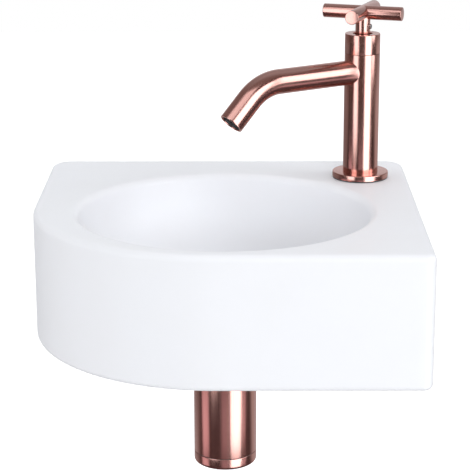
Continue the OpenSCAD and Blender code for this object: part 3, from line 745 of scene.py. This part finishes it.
def upper_rings(s, around):
    """Rings of points from the drain up the bowl, over the lip and the deck, down the skirt."""
    rings = []

    def circle(r, z, stretch=0.0):
        wide, deep = r * (1 + MOUTH_WIDER * stretch), r * (1 - MOUTH_SHORTER * stretch)
        rings.append([Vector((DRAIN.x + wide * cos(a), DRAIN.y + deep * sin(a), RIM + z))
                      for a in around])

    def plan(inset, z):
        rings.append([Vector((x, y, RIM + z)) for x, y in outline(s, inset)])

    bed = -s.bowl_depth - s.recess_depth
    for r, z in ((s.drain, bed - s.floor + 0.5 * mm), (s.drain, bed - 0.5 * mm),
                 (s.drain + 0.15 * mm, bed - 0.15 * mm), (s.drain + 0.5 * mm, bed),
                 (s.recess - 0.9 * mm, bed), (s.recess - 0.3 * mm, bed + 0.3 * mm),
                 (s.recess, bed + 0.9 * mm), (s.recess, -s.bowl_depth - 0.7 * mm),
                 (s.recess + 0.2 * mm, -s.bowl_depth - 0.2 * mm),
                 (s.recess + 0.7 * mm, -s.bowl_depth)):
        circle(r, z)
    steps, foot = 26, 88
    round_to, oval_from = 60 * mm, 116 * mm
    for i in range(1, steps + 1):
        r, z = bowl_side(s, 0, foot - foot * (i / steps) ** 1.15)
        share = min(max((r - round_to) / (oval_from - round_to), 0), 1)
        circle(r, z, share * share * (3 - 2 * share))
    for a in quarter(10, 1):
        circle(s.bowl + s.lip * (1 - cos(a)), -s.lip * (1 - sin(a)), 1)
    lip = [p.copy() for p in rings[-1]]
    edge = [Vector((x, y, RIM)) for x, y in outline(s, s.top_edge)]
    for share in (0.06, 0.35, 0.65, 0.94):
        rings.append([a.lerp(b, share) for a, b in zip(lip, edge)])
    for a in quarter(8):
        plan(s.top_edge * (1 - sin(a)), -s.top_edge * (1 - cos(a)))
    for z in (-s.top_edge - 0.6 * mm, -0.35 * s.height, -0.65 * s.height,
              -s.height + s.foot_edge + 0.6 * mm):
        plan(0, z)
    for a in quarter(6):
        plan(s.foot_edge * (1 - cos(a)), -s.height + s.foot_edge * (1 - sin(a)))
    for inset, rise in ((1.3, 0), (1.0, 0), (0.3, 0.3), (0, 1.0), (0, 1.5)):
        plan(s.wall - inset * mm, -s.height + rise * mm)
    return rings


def under_rings(s):
    """Rings of points up inside the skirt, under the deck and down round the bowl's shell.

    Each point lies on a line from the drain to the skirt.
    """
    lines = []
    for x, y in outline(s, s.wall):
        reach = hypot(x - DRAIN.x, y - DRAIN.y)
        gap = max(reach - (s.bowl + s.shell), 1.5 * mm)
        lines.append((reach, (x - DRAIN.x) / reach, (y - DRAIN.y) / reach, reach - gap,
                      min(5 * mm, 0.45 * gap)))
    rings = []

    def hollow(rule):
        ring = []
        for reach, ux, uy, shell, fillet in lines:
            r, z = rule(reach, shell, fillet)
            ring.append(Vector((DRAIN.x + ux * r, DRAIN.y + uy * r, RIM + z)))
        rings.append(ring)

    hollow(lambda reach, shell, fillet: (reach, -s.deck - 6 * mm))
    for a in quarter(5):
        hollow(lambda reach, shell, fillet: (reach - fillet * (1 - cos(a)),
                                             -s.deck - fillet * (1 - sin(a))))
    for a in quarter(5):
        hollow(lambda reach, shell, fillet: (shell + fillet * (1 - sin(a)),
                                             -s.deck - fillet * (1 - cos(a))))
    steps, start = 16, 9
    for i in range(steps + 1):
        side = bowl_side(s, s.shell, start + (90 - start) * i / steps)
        hollow(lambda reach, shell, fillet: (min(side[0], shell), side[1]))
    under = -s.bowl_depth - s.recess_depth - s.floor
    for r, rise in ((s.recess, 1), (s.recess - 0.3 * mm, 0.3), (s.recess - 1 * mm, 0),
                    (s.drain + 0.5 * mm, 0), (s.drain + 0.15 * mm, 0.15)):
        hollow(lambda reach, shell, fillet: (r, under + rise * mm))
    return rings


class BASIN_OT_ceramic(bpy.types.Operator):
    """Model the glazed ceramic basin with its bowl, its hollow underside and its holes"""
    bl_idname = "hand_basin.ceramic"
    bl_label = "Ceramic basin"

    def execute(self, context):
        s = context.scene.basin_sizes
        around = [atan2(y - DRAIN.y, x - DRAIN.x) for x, y in outline(s, 0)]
        rings = upper_rings(s, around) + under_rings(s)
        rings.append([p.copy() for p in rings[0]])
        bm = bmesh.new()
        skinned(bm, rings)
        bmesh.ops.remove_doubles(bm, verts=bm.verts[:], dist=20 * SAME_POINT)
        bmesh.ops.recalc_face_normals(bm, faces=bm.faces[:])
        piece = finished("ceramic", bm, "basin_ceramic")
        # The copper reflects the cards and the room, and not the white basin
        piece.visible_glossy = False
        spare = 3 * mm
        drilled(piece, [(s.tap_hole, -s.deck - spare, spare, at(TAP), 96)] + [
            (s.fixing, -spare, s.wall + spare,
             shift(side * s.fixing_spacing / 2, 0, 0) @ rotate(pi / 2, "X"), 64)
            for side in (-1, 1)])
        return {"FINISHED"}


class BASIN_OT_tap_body(bpy.types.Operator):
    """Turn the tap's body, its upper sleeve, its base plate and the rubber under it"""
    bl_idname = "hand_basin.tap_body"
    bl_label = "Tap body"

    def execute(self, context):
        t = context.scene.basin_tap
        place = at(TAP, 0)
        low, high = span("tap_body")
        seat = high - 6 * mm
        lathe("tap_column", "tap_body", [
            (t.tail_bore, low), (t.body, low, 0.3 * mm), (t.body, high, 0.15 * mm),
            (t.tail, high, 0.3 * mm), (t.tail, seat), (t.tail_bore, seat)], place)
        low, high = span("tap_sleeve")
        inner, hole, crown = t.body - 1.6 * mm, 8 * mm, high - 2.5 * mm
        lathe("tap_upper_sleeve", "tap_sleeve", [
            (inner, low), (t.body, low, 0.15 * mm), (t.body, high, 0.35 * mm),
            (hole, high, 0.3 * mm), (hole, crown), (inner, crown)], place)
        low, high = span("tap_base_plate")
        inner = t.body - 0.2 * mm
        lathe("base_plate", "tap_base_plate", [
            (inner, low), (t.plate, low, 0.2 * mm), (t.plate, high, 0.7 * mm), (inner, high)],
            place)
        washer("plate_rubber", "base_gasket", t.tail + 0.6 * mm, t.plate - 0.4 * mm, 0.2 * mm,
               place, segments=4)
        return {"FINISHED"}


def bend_point(t, a):
    """Middle of the spout at an angle of its bend."""
    return Vector((t.spout_reach + t.spout_bend * sin(a), 0,
                   t.spout_height - t.spout_bend * (1 - cos(a))))


def spout_rings(t):
    """Rings of points and their grain along the spout, from inside the body to the bore's end."""
    rings, grains = [], []
    steps, level_steps, bend_steps = 72, 6, 28

    def ring(centre, tilt, r, along, reach=None):
        """A ring across the spout or, with a reach, one that follows the tap's round body."""
        points, grain = [], []
        for i in range(steps):
            a = 2 * pi * i / steps
            side, up = r * cos(a), r * sin(a)
            x = centre.x if reach is None else sqrt(max(t.body ** 2 - side ** 2, 0)) + reach
            points.append(Vector((x + up * sin(tilt), side, centre.z + up * cos(tilt))))
            grain.append((side, up, along if reach is None else x))
        rings.append(points)
        grains.append(grain)

    level = Vector((0, 0, t.spout_height))
    for swell, reach in ((0.2, -2.0), (0.2, -0.05), (0.06, 0.08), (0, 0.25)):
        ring(level, 0, t.spout + swell * mm, 0, reach * mm)
    for k in range(1, level_steps + 1):
        x = t.body + (t.spout_reach - t.body) * k / level_steps
        ring(level + Vector((x, 0, 0)), 0, t.spout, x)
    for k in range(1, bend_steps + 1):
        a = t.spout_droop * k / bend_steps
        ring(bend_point(t, a), a, t.spout, t.spout_reach + t.spout_bend * a)
    a = t.spout_droop
    onward = Vector((cos(a), 0, -sin(a)))
    bore = t.spout - t.spout_wall
    near, lip, nick = 0.8 * mm, 0.35 * mm, 0.1 * mm
    for back, r in ((t.spout_end / 2, t.spout), (near, t.spout), (lip, t.spout),
                    (nick, t.spout - nick), (0, t.spout - lip), (0, bore + lip),
                    (nick, bore + nick), (lip, bore), (near, bore), (13 * mm, bore)):
        out = t.spout_end - back
        ring(bend_point(t, a) + onward * out, a, r, t.spout_reach + t.spout_bend * a + out)
    return rings, grains


class BASIN_OT_spout(bpy.types.Operator):
    """Bend the spout tube and finish its mouth with a ring and a jet grid"""
    bl_idname = "hand_basin.spout"
    bl_label = "Spout"

    def execute(self, context):
        t = context.scene.basin_tap
        place = at(TAP) @ rotate(pi + t.spout_turn)
        rings, grains = spout_rings(t)
        bm = bmesh.new()
        grain, edge = grain_layer(bm), edge_layer(bm)
        stack = skinned(bm, rings, capped=True)
        grain_of = {v: g for verts, values in zip(stack, grains) for v, g in zip(verts, values)}
        tip = {v for verts in stack[-8:-2] for v in verts}
        bmesh.ops.recalc_face_normals(bm, faces=bm.faces[:])
        for f in bm.faces:
            # The mouth's rounded lip takes the same light edge colour, wear and painted highlight
            wear_and_highlight = all(v in tip for v in f.verts)
            for c in f.loops:
                c[grain] = grain_of[c.vert]
                c[edge] = 1.0 if wear_and_highlight else 0.0
        bmesh.ops.transform(bm, matrix=place, verts=bm.verts[:])
        finished("spout", bm, "spout_tube")
        mouth = place @ shift(*bend_point(t, t.spout_droop)) @ rotate(
            pi / 2 + t.spout_droop, "Y") @ shift(0, 0, t.spout_end)
        bore = t.spout - t.spout_wall
        inner, outer, front = bore - 1.1 * mm, bore - 0.05 * mm, -0.8 * mm
        lathe("mouth_ring", "aerator_ring", [
            (inner, -9 * mm), (outer, -9 * mm), (outer, front, 0.15 * mm),
            (inner, front, 0.3 * mm)], mouth, steps=64, segments=2)
        insert, back, face, well = bore - 1.15 * mm, -6.5 * mm, -2.5 * mm, -3.1 * mm
        grid = lathe("mouth_grid", "aerator_insert", [
            (0, back), (insert, back), (insert, face, 0.2 * mm),
            (insert - 0.8 * mm, face, 0.2 * mm), (insert - 0.9 * mm, well), (0, well)],
            mouth, steps=48, segments=2)
        depths, row_step = (-7 * mm, -2 * mm), 2.4 * mm
        jets = [(0.75 * mm, *depths, mouth, 12)]
        for row in (1, 2):
            jets += [(0.7 * mm, *depths,
                      mouth @ rotate(pi / 3 * k / row) @ shift(row_step * row, 0, 0), 12)
                     for k in range(6 * row)]
        drilled(grid, jets)
        return {"FINISHED"}


class BASIN_OT_handle(bpy.types.Operator):
    """Turn the handle's stem and its two cross bars, with the grub screw in the stem"""
    bl_idname = "hand_basin.handle"
    bl_label = "Cross handle"

    def execute(self, context):
        t = context.scene.basin_tap
        place = at(TAP) @ rotate(t.handle_turn)
        low, high = (z - RIM for z in span("handle_stem"))
        bore = 4.05 * mm
        stem = lathe("handle_stem_turned", "handle_stem", [
            (bore, low), (t.stem, low, 0.3 * mm), (t.stem, high, 0.5 * mm), (bore, high)],
            place, steps=72)
        across = place @ shift(0, 0, middle("handle_grub_screw").z - RIM) @ rotate(pi / 2, "Y")
        screw, inner, outer = 2 * mm, 4.1 * mm, 7.2 * mm
        drilled(stem, [(screw + 0.05 * mm, 3 * mm, t.stem + 2 * mm, across, 32)])
        bm = bmesh.new()
        half = t.bar_length / 2
        for turn in (0, pi / 2):
            turned(bm, [(0, -half), (t.bar, -half, 0.45 * mm), (t.bar, half, 0.45 * mm),
                        (0, half)],
                   place @ shift(0, 0, t.bar_height) @ rotate(turn) @ rotate(pi / 2, "Y"),
                   steps=72)
        finished("cross_bars", bm, "handle_cross")
        grub = lathe("grub_screw", "handle_grub_screw", [
            (0, inner), (screw, inner), (screw, outer, 0.35 * mm), (0, outer)], across,
            steps=32, segments=2)
        drilled(grub, [(1.15 * mm, outer - 1.5 * mm, 9 * mm, across, 6)])
        return {"FINISHED"}


class BASIN_OT_tap_fixings(bpy.types.Operator):
    """Turn the threaded tail under the tap, its rubber, its washer and its backnut"""
    bl_idname = "hand_basin.tap_fixings"
    bl_label = "Tap fixings"

    def execute(self, context):
        t = context.scene.basin_tap
        place = at(TAP, 0)
        low, high = span("inlet_tail")
        depth = 1.1 * mm
        profile = [(t.tail_bore, high), (t.tail, high)]
        profile += thread(t.tail, RIM - 14 * mm, low + 1.2 * mm, TAIL_PITCH, depth)
        profile += [(t.tail - depth, low, 0.2 * mm), (t.tail_bore, low, 0.4 * mm)]
        lathe("threaded_tail", "inlet_tail", profile, place, segments=2)
        for name, cad, rounding in (("tail_rubber", "inlet_seal", 0.5 * mm),
                                    ("tail_washer", "inlet_washer", 0.25 * mm)):
            washer(name, cad, t.tail + SEAL_PLAY, half_width(cad, TAP), rounding, place)
        hex_nut("tail_backnut", "inlet_backnut", 32 * mm, t.tail + PLAY, place)
        return {"FINISHED"}


class BASIN_OT_waste(bpy.types.Operator):
    """Turn the waste, its lift-out cover, its seals and its locknut"""
    bl_idname = "hand_basin.waste"
    bl_label = "Waste"

    def execute(self, context):
        w = context.scene.basin_drain
        place = at(DRAIN, 0)
        low, high = span("waste_body")
        depth, flange_under = 1.3 * mm, high - 2.3 * mm
        profile = [(w.bore, high - 5.5 * mm), (w.bore + 2.2 * mm, high - 2 * mm, 1 * mm),
                   (w.bore + 4.6 * mm, high, 0.8 * mm), (w.flange, high, 0.9 * mm),
                   (w.flange, flange_under, 0.2 * mm), (w.tail, flange_under),
                   (w.tail, high - 14 * mm)]
        profile += thread(w.tail, high - 14.4 * mm, low + 1.6 * mm, WASTE_PITCH, depth)
        profile += [(w.tail - depth, low, 0.2 * mm), (w.bore, low, 0.3 * mm)]
        bm = bmesh.new()
        turned(bm, profile, place, segments=3)
        guide = RIM - 77 * mm
        guide_foot, inner, outer = guide - 4 * mm, 3.65 * mm, 6.5 * mm
        turned(bm, [(inner, guide_foot, 0.3 * mm), (outer, guide_foot, 0.4 * mm),
                    (outer, guide, 0.4 * mm), (inner, guide, 0.3 * mm)], place, steps=48,
               segments=2)
        for k in range(3):
            block(bm, (5.5 * mm, -1.5 * mm, guide_foot), (w.bore + 1 * mm, 1.5 * mm, guide),
                  place @ rotate(2 * pi / 3 * k), 0.35 * mm)
        finished("waste_turned", bm, "waste_body")

        low, high = span("waste_cover")
        rim, pin, collar = half_width("waste_cover", DRAIN), 3.5 * mm, 5.5 * mm
        disc = RIM - 61.2 * mm
        stop = guide + 0.1 * mm
        lathe("cover_turned", "waste_cover", [
            (0, low), (pin, low, 0.5 * mm), (pin, stop), (collar, stop, 0.2 * mm),
            (collar, stop + 2 * mm, 0.2 * mm), (pin, stop + 3.5 * mm, 0.4 * mm),
            (pin, disc + 0.6 * mm, 0.5 * mm), (rim - 0.6 * mm, disc, 0.3 * mm),
            (rim, disc + 0.5 * mm, 0.3 * mm), (rim, disc + 1.2 * mm, 0.5 * mm),
            (rim - 1.6 * mm, disc + 1.95 * mm, 0.8 * mm), (0.62 * rim, disc + 2.95 * mm, 4 * mm),
            (0.3 * rim, disc + 3.33 * mm, 3 * mm), (0, high)], place, crease=50)
        for name, cad, rounding in (("flange_rubber", "waste_upper_seal", 0.3 * mm),
                                    ("waste_rubber", "waste_lower_seal", 0.6 * mm)):
            washer(name, cad, w.tail + SEAL_PLAY, half_width(cad, DRAIN), rounding, place)
        hex_nut("waste_locknut_cut", "waste_locknut", 52 * mm, w.tail + PLAY, place)
        return {"FINISHED"}


class BASIN_OT_trap(bpy.types.Operator):
    """Turn the bottle trap, its coupling nut and its clean-out cap"""
    bl_idname = "hand_basin.trap"
    bl_label = "Bottle trap"

    def execute(self, context):
        w = context.scene.basin_drain
        place = at(DRAIN, 0)
        low, high = span("trap_coupling_nut")
        outer, inner = half_width("trap_coupling_nut", DRAIN), w.tail + PLAY
        hole, room, floor, neck = 19.3 * mm, 21.7 * mm, low + 2.4 * mm, high - 11 * mm
        lathe("trap_nut", "trap_coupling_nut", [
            (inner, high, 0.4 * mm), (outer, high, 0.6 * mm), (outer, low, 0.4 * mm),
            (hole, low, 0.2 * mm), (hole, floor), (room, floor), (room, neck), (inner, neck)],
            place)

        low, high = span("trap_body")
        shoulder = RIM - 112 * mm
        inner, hole, collar, throat = w.trap - 2 * mm, 19.2 * mm, 21.6 * mm, w.pipe + PLAY
        bm = bmesh.new()
        turned(bm, [(inner, low), (w.trap, low, 0.3 * mm), (w.trap, shoulder, 0.7 * mm),
                    (hole, shoulder), (hole, shoulder + 3 * mm),
                    (collar, shoulder + 3 * mm, 0.2 * mm), (collar, high, 0.2 * mm),
                    (throat, high, 0.2 * mm), (throat, shoulder - 3 * mm),
                    (inner, shoulder - 3 * mm)], place)
        stub, bore = w.pipe + 2.2 * mm, w.pipe - w.pipe_wall
        start, seat, end = w.trap - 6 * mm, w.trap + 2 * mm, w.trap + 14 * mm
        turned(bm, [(bore, start), (stub, start), (stub, end, 0.3 * mm), (throat, end, 0.2 * mm),
                    (throat, seat), (bore, seat)], towards_wall(), steps=72)
        finished("trap_bottle", bm, "trap_body")

        low, high = span("trap_cap")
        seam = span("trap_body")[0] - 0.4 * mm
        plug, floor = w.trap - 2.1 * mm, low + 3 * mm
        inner = plug - 2.2 * mm
        lathe("trap_cap_turned", "trap_cap", [
            (0, low), (w.trap, low, w.cap_edge), (w.trap, seam, 0.3 * mm), (plug, seam),
            (plug, high, 0.4 * mm), (inner, high, 0.4 * mm), (inner, floor, 0.8 * mm),
            (0, floor)], place, segments=6)
        washer("cap_rubber", "trap_cap_seal", w.trap - 1.95 * mm, w.trap - 0.3 * mm, 0.1 * mm,
               place, segments=2)
        return {"FINISHED"}


def towards_wall():
    """Place whose Z runs from the drain's axis to the wall, at the height of the outlet."""
    return shift(DRAIN.x, DRAIN.y, middle("outlet_pipe").z) @ rotate(-pi / 2, "X")


class BASIN_OT_outlet(bpy.types.Operator):
    """Turn the outlet's nut, its pipe and the rosette on the wall"""
    bl_idname = "hand_basin.outlet"
    bl_label = "Outlet"

    def execute(self, context):
        w = context.scene.basin_drain
        place = towards_wall()
        low, high = (y - DRAIN.y for y in span("outlet_nut", 1))
        outer, stub, pipe = half_width("outlet_nut", DRAIN), w.pipe + 2.3 * mm, w.pipe + PLAY
        crown = high - 2.5 * mm
        lathe("pipe_nut", "outlet_nut", [
            (stub, low, 0.3 * mm), (outer, low, 0.7 * mm), (outer, high, 0.9 * mm),
            (pipe, high, 0.3 * mm), (pipe, crown), (stub, crown)], place)
        low, high = (y - DRAIN.y for y in span("outlet_pipe", 1))
        bore = w.pipe - w.pipe_wall
        lathe("wall_pipe", "outlet_pipe", [
            (bore, low), (w.pipe, low), (w.pipe, high, 0.3 * mm), (bore, high, 0.2 * mm)],
            place, steps=80)
        front, wall = span("wall_rosette", 1)[0] - DRAIN.y, -DRAIN.y
        half = wall - (wall - front) / 2
        bore, neck, rim, sheet = w.pipe + 0.2 * mm, w.pipe + 2 * mm, w.rosette, 1.4 * mm
        lathe("rosette", "wall_rosette", [
            (bore, front, 0.2 * mm), (neck + 0.5 * mm, front, 0.8 * mm),
            (rim - 6 * mm, half, 4 * mm), (rim, wall, 0.25 * mm), (rim - 2 * mm, wall),
            (rim - 7 * mm, half + sheet, 3 * mm), (neck, front + sheet),
            (neck, front + 4 * mm), (bore, front + 4 * mm)], place, crease=45, segments=6)
        return {"FINISHED"}


class BASIN_OT_inner_parts(bpy.types.Operator):
    """Give the pieces inside the tap, the waste and the trap their finishes"""
    bl_idname = "hand_basin.inner_parts"
    bl_label = "Inner parts"

    def execute(self, context):
        for cad, slot in SLOT.items():
            part = frame["nodes"][cad]
            if part.hide_render:
                continue
            make = FINISHES[slot]
            part.data.materials.clear()
            part.data.materials.append(make(False) if slot in TURNED_METALS else make())
        return {"FINISHED"}


# Stage, lamps and camera

def world_light(room):
    """White for the eye, soft light for the object and a graded room for reflections."""
    world = bpy.data.worlds.new("Studio room")
    world.use_nodes = True
    w = Wiring(world.node_tree)
    w.tree.nodes.clear()
    out = w.node("OutputWorld")
    camera, mirror = w.rays()
    look = w.parts(w.node("TexCoord").outputs["Generated"])
    back = w.times(w.ranged(look["Y"], -0.2, 0.5, 0.0, 0.24, True),
                   w.ranged(look["X"], -0.8, 0.1, 0.4, 1.0, True))
    overhead = w.ranged(look["Z"], 0.5, 1.0, 0.0, 0.12, True)
    window = w.ranged(look["Y"], 0.75, 0.97, 0.0, 0.36, True)
    darkest = 0.07
    level = w.plus(w.plus(w.plus(darkest, back), overhead), window)
    tint = w.mixed(w.ranged(level, darkest, 0.30), (1.25, 0.85, 0.75, 1), (0.95, 1.0, 1.03, 1))
    seen = w.node("VectorMath", set_operation="SCALE", Scale=level, Vector=tint).outputs["Vector"]
    soft = w.mixed(mirror, (room, room, room * 1.02, 1), seen)
    sky = w.node("Background", Color=w.mixed(camera, soft, WHITE), Strength=1.0)
    w.join(sky.outputs[0], out.inputs["Surface"])
    return world


def floor_finish():
    """Pale floor that the eye sees as white further off, and reflections see as a dim one."""
    made, w, shader = new_material("Studio floor")
    place = w.place()
    got = w.node("Group", set_node_tree=mottle_group(), Place=place, Cloud_Scale=1.5,
                 Grain_Scale=80.0, Colour_A=chosen("floor"), Colour_B=chosen("floor", 0.98),
                 Smoothest=0.75, Roughest=0.85).outputs
    w.join(got["Roughness"], shader.inputs["Roughness"])
    camera, mirror = w.rays()
    where = w.parts(place)
    away = w.node("VectorMath", set_operation="LENGTH", Vector=place).outputs["Value"]
    far = w.ranged(away, 1.4, 3.0, 0.72, 1.0, True)
    behind = w.times(w.ranged(where["Y"], 0.3, 1.5, 0.0, 0.4, True),
                     w.ranged(where["X"], -3.0, -0.5, 0.4, 1.0, True))
    behind = w.plus(behind, w.ranged(away, 3.5, 8.0, 0.0, 0.06))
    glow = w.node("Emission", Color=WHITE, Strength=w.blend(camera, far, mirror, behind))
    w.join(w.mixed(mirror, got["Colour"], (0.066, 0.039, 0.040, 1)), shader.inputs["Base Color"])
    both = w.node("AddShader")
    w.join(shader.outputs[0], both.inputs[0])
    w.join(glow.outputs[0], both.inputs[1])
    w.join(both.outputs[0], w.tree.nodes["Material Output"].inputs["Surface"])
    return made


def softbox(name, power, size, azimuth, distance, height, target, tint=None):
    """Hangs a softbox round the object, 0 degrees being the camera's side, aimed at a height.

    A tinted one is a card, which shows only in reflections. A white one never shows there.
    """
    lamp = bpy.data.lights.new(name, "AREA")
    lamp.shape, lamp.size, lamp.size_y, lamp.energy = "RECTANGLE", size[0], size[1], power
    lamp.color = tint or (1, 1, 1)
    made = bpy.data.objects.new(name, lamp)
    bpy.context.scene.collection.objects.link(made)
    a = radians(azimuth)
    place = AIM + Vector((distance * sin(a), -distance * cos(a), height))
    toward = AIM + Vector((0, 0, target)) - place
    made.visible_camera = False
    made.visible_glossy = tint is not None
    made.visible_diffuse = tint is None
    made.matrix_world = (Matrix.Translation(place)
                         @ toward.to_track_quat("-Z", "Y").to_matrix().to_4x4())


class BASIN_OT_stage(bpy.types.Operator):
    """Lay the pale floor, hang the soft lamps and set the camera at the photographed angle"""
    bl_idname = "hand_basin.stage"
    bl_label = "Stage, lamps and camera"

    def execute(self, context):
        scene, studio = context.scene, context.scene.basin_studio
        scene.world = world_light(studio.room)
        bm = bmesh.new()
        made = bmesh.ops.create_grid(bm, x_segments=1, y_segments=1, size=9.0)["verts"]
        bmesh.ops.translate(bm, verts=made, vec=(0, 0, RIM - studio.floor_drop))
        mesh = bpy.data.meshes.new("studio_floor")
        bm.to_mesh(mesh)
        bm.free()
        mesh.materials.append(floor_finish())
        floor = bpy.data.objects.new("studio_floor", mesh)
        scene.collection.objects.link(floor)
        for name, watts, size, azimuth, height, tint in (
                ("right_card", studio.right_power, (1.28, 2.57), 38.6, 0.035, COOL),
                ("side_card", studio.side_power, (0.58, 1.46), 74, 0.75, COOL),
                ("left_card", studio.left_power, (1.0, 1.40), -44, 0.62, COOL),
                ("left_foot_card", 0.31 * studio.left_power, (0.88, 0.46), -41, -0.31, COOL),
                ("low_left_card", studio.low_power, (0.85, 0.6), -77, -0.88, WARM),
                ("low_right_card", 0.35 * studio.low_power, (0.5, 0.5), 71, -0.86, WARM),
                ("low_front_card", 0.45 * studio.low_power, (0.75, 0.75), -2, -0.89, WARM)):
            softbox(name, watts, size, azimuth, CARD_DISTANCE, height, height, tint)
        softbox("high_card", studio.high_power, (1.9, 0.85), -25, 1.17, 1.60, 0.1, COOL)
        for name, watts, size, azimuth, distance, height in (
                ("front_fill", studio.front_fill, (1.6, 1.3), 10, 2.8, 0.82),
                ("low_fill", studio.low_fill, (1.4, 0.8), 15, 2.0, -0.5),
                ("right_fill", studio.right_fill, (2.0, 1.5), 84, 2.6, 1.73),
                ("left_fill", studio.left_fill, (2.0, 2.6), -104, 3.0, 0.5),
                ("top_fill", studio.top_fill, (1.6, 1.6), 180, 0.4, 1.6),
                ("back_fill", studio.back_fill, (1.6, 1.0), 180, 1.4, 1.3)):
            softbox(name, watts, size, azimuth, distance, height, 0.0)
        camera = bpy.data.cameras.new("camera")
        camera.lens, camera.sensor_width = studio.lens / mm, SENSOR
        camera.sensor_fit = "HORIZONTAL"
        camera.clip_start, camera.clip_end = 0.05, 60
        eye = bpy.data.objects.new("camera", camera)
        scene.collection.objects.link(eye)
        eye.matrix_world = (shift(CAMERA_SIDE, -studio.camera_distance, studio.camera_height)
                            @ rotate(CAMERA_TURN) @ rotate(pi / 2 - CAMERA_TILT, "X")
                            @ rotate(CAMERA_ROLL))
        scene.camera = eye
        scene.view_settings.view_transform = "Standard"
        return {"FINISHED"}


class BASIN_PT_panel(bpy.types.Panel):
    """Lists the steps that build the hand basin"""
    bl_idname = "BASIN_PT_panel"
    bl_label = "Hand basin"
    bl_space_type = "VIEW_3D"
    bl_region_type = "UI"
    bl_category = "Hand basin"

    def draw(self, context):
        layout = self.layout
        for step in STEPS:
            layout.operator(step.bl_idname)
        for name, group in GROUPS.items():
            box = layout.box()
            box.label(text=group.__doc__)
            for key in group.__annotations__:
                box.prop(getattr(context.scene, name), key)


STEPS = (BASIN_OT_stage, BASIN_OT_ceramic, BASIN_OT_tap_body, BASIN_OT_spout, BASIN_OT_handle,
         BASIN_OT_tap_fixings, BASIN_OT_waste, BASIN_OT_trap, BASIN_OT_outlet,
         BASIN_OT_inner_parts)
GROUPS = {"basin_sizes": BasinSizes, "basin_tap": TapSizes, "basin_drain": DrainSizes,
          "basin_finishes": Finishes, "basin_studio": Studio}


def register():
    for made in (*GROUPS.values(), *STEPS, BASIN_PT_panel):
        bpy.utils.register_class(made)
    for name, group in GROUPS.items():
        setattr(bpy.types.Scene, name, PointerProperty(type=group))


def unregister():
    for name in GROUPS:
        delattr(bpy.types.Scene, name)
    for made in reversed((*GROUPS.values(), *STEPS, BASIN_PT_panel)):
        bpy.utils.unregister_class(made)


def main():
    register()
    bpy.ops.hand_basin.stage()
    bpy.ops.hand_basin.ceramic()
    bpy.ops.hand_basin.tap_body()
    bpy.ops.hand_basin.spout()
    bpy.ops.hand_basin.handle()
    bpy.ops.hand_basin.tap_fixings()
    bpy.ops.hand_basin.waste()
    bpy.ops.hand_basin.trap()
    bpy.ops.hand_basin.outlet()
    bpy.ops.hand_basin.inner_parts()


if __name__ == "__main__":
    main()
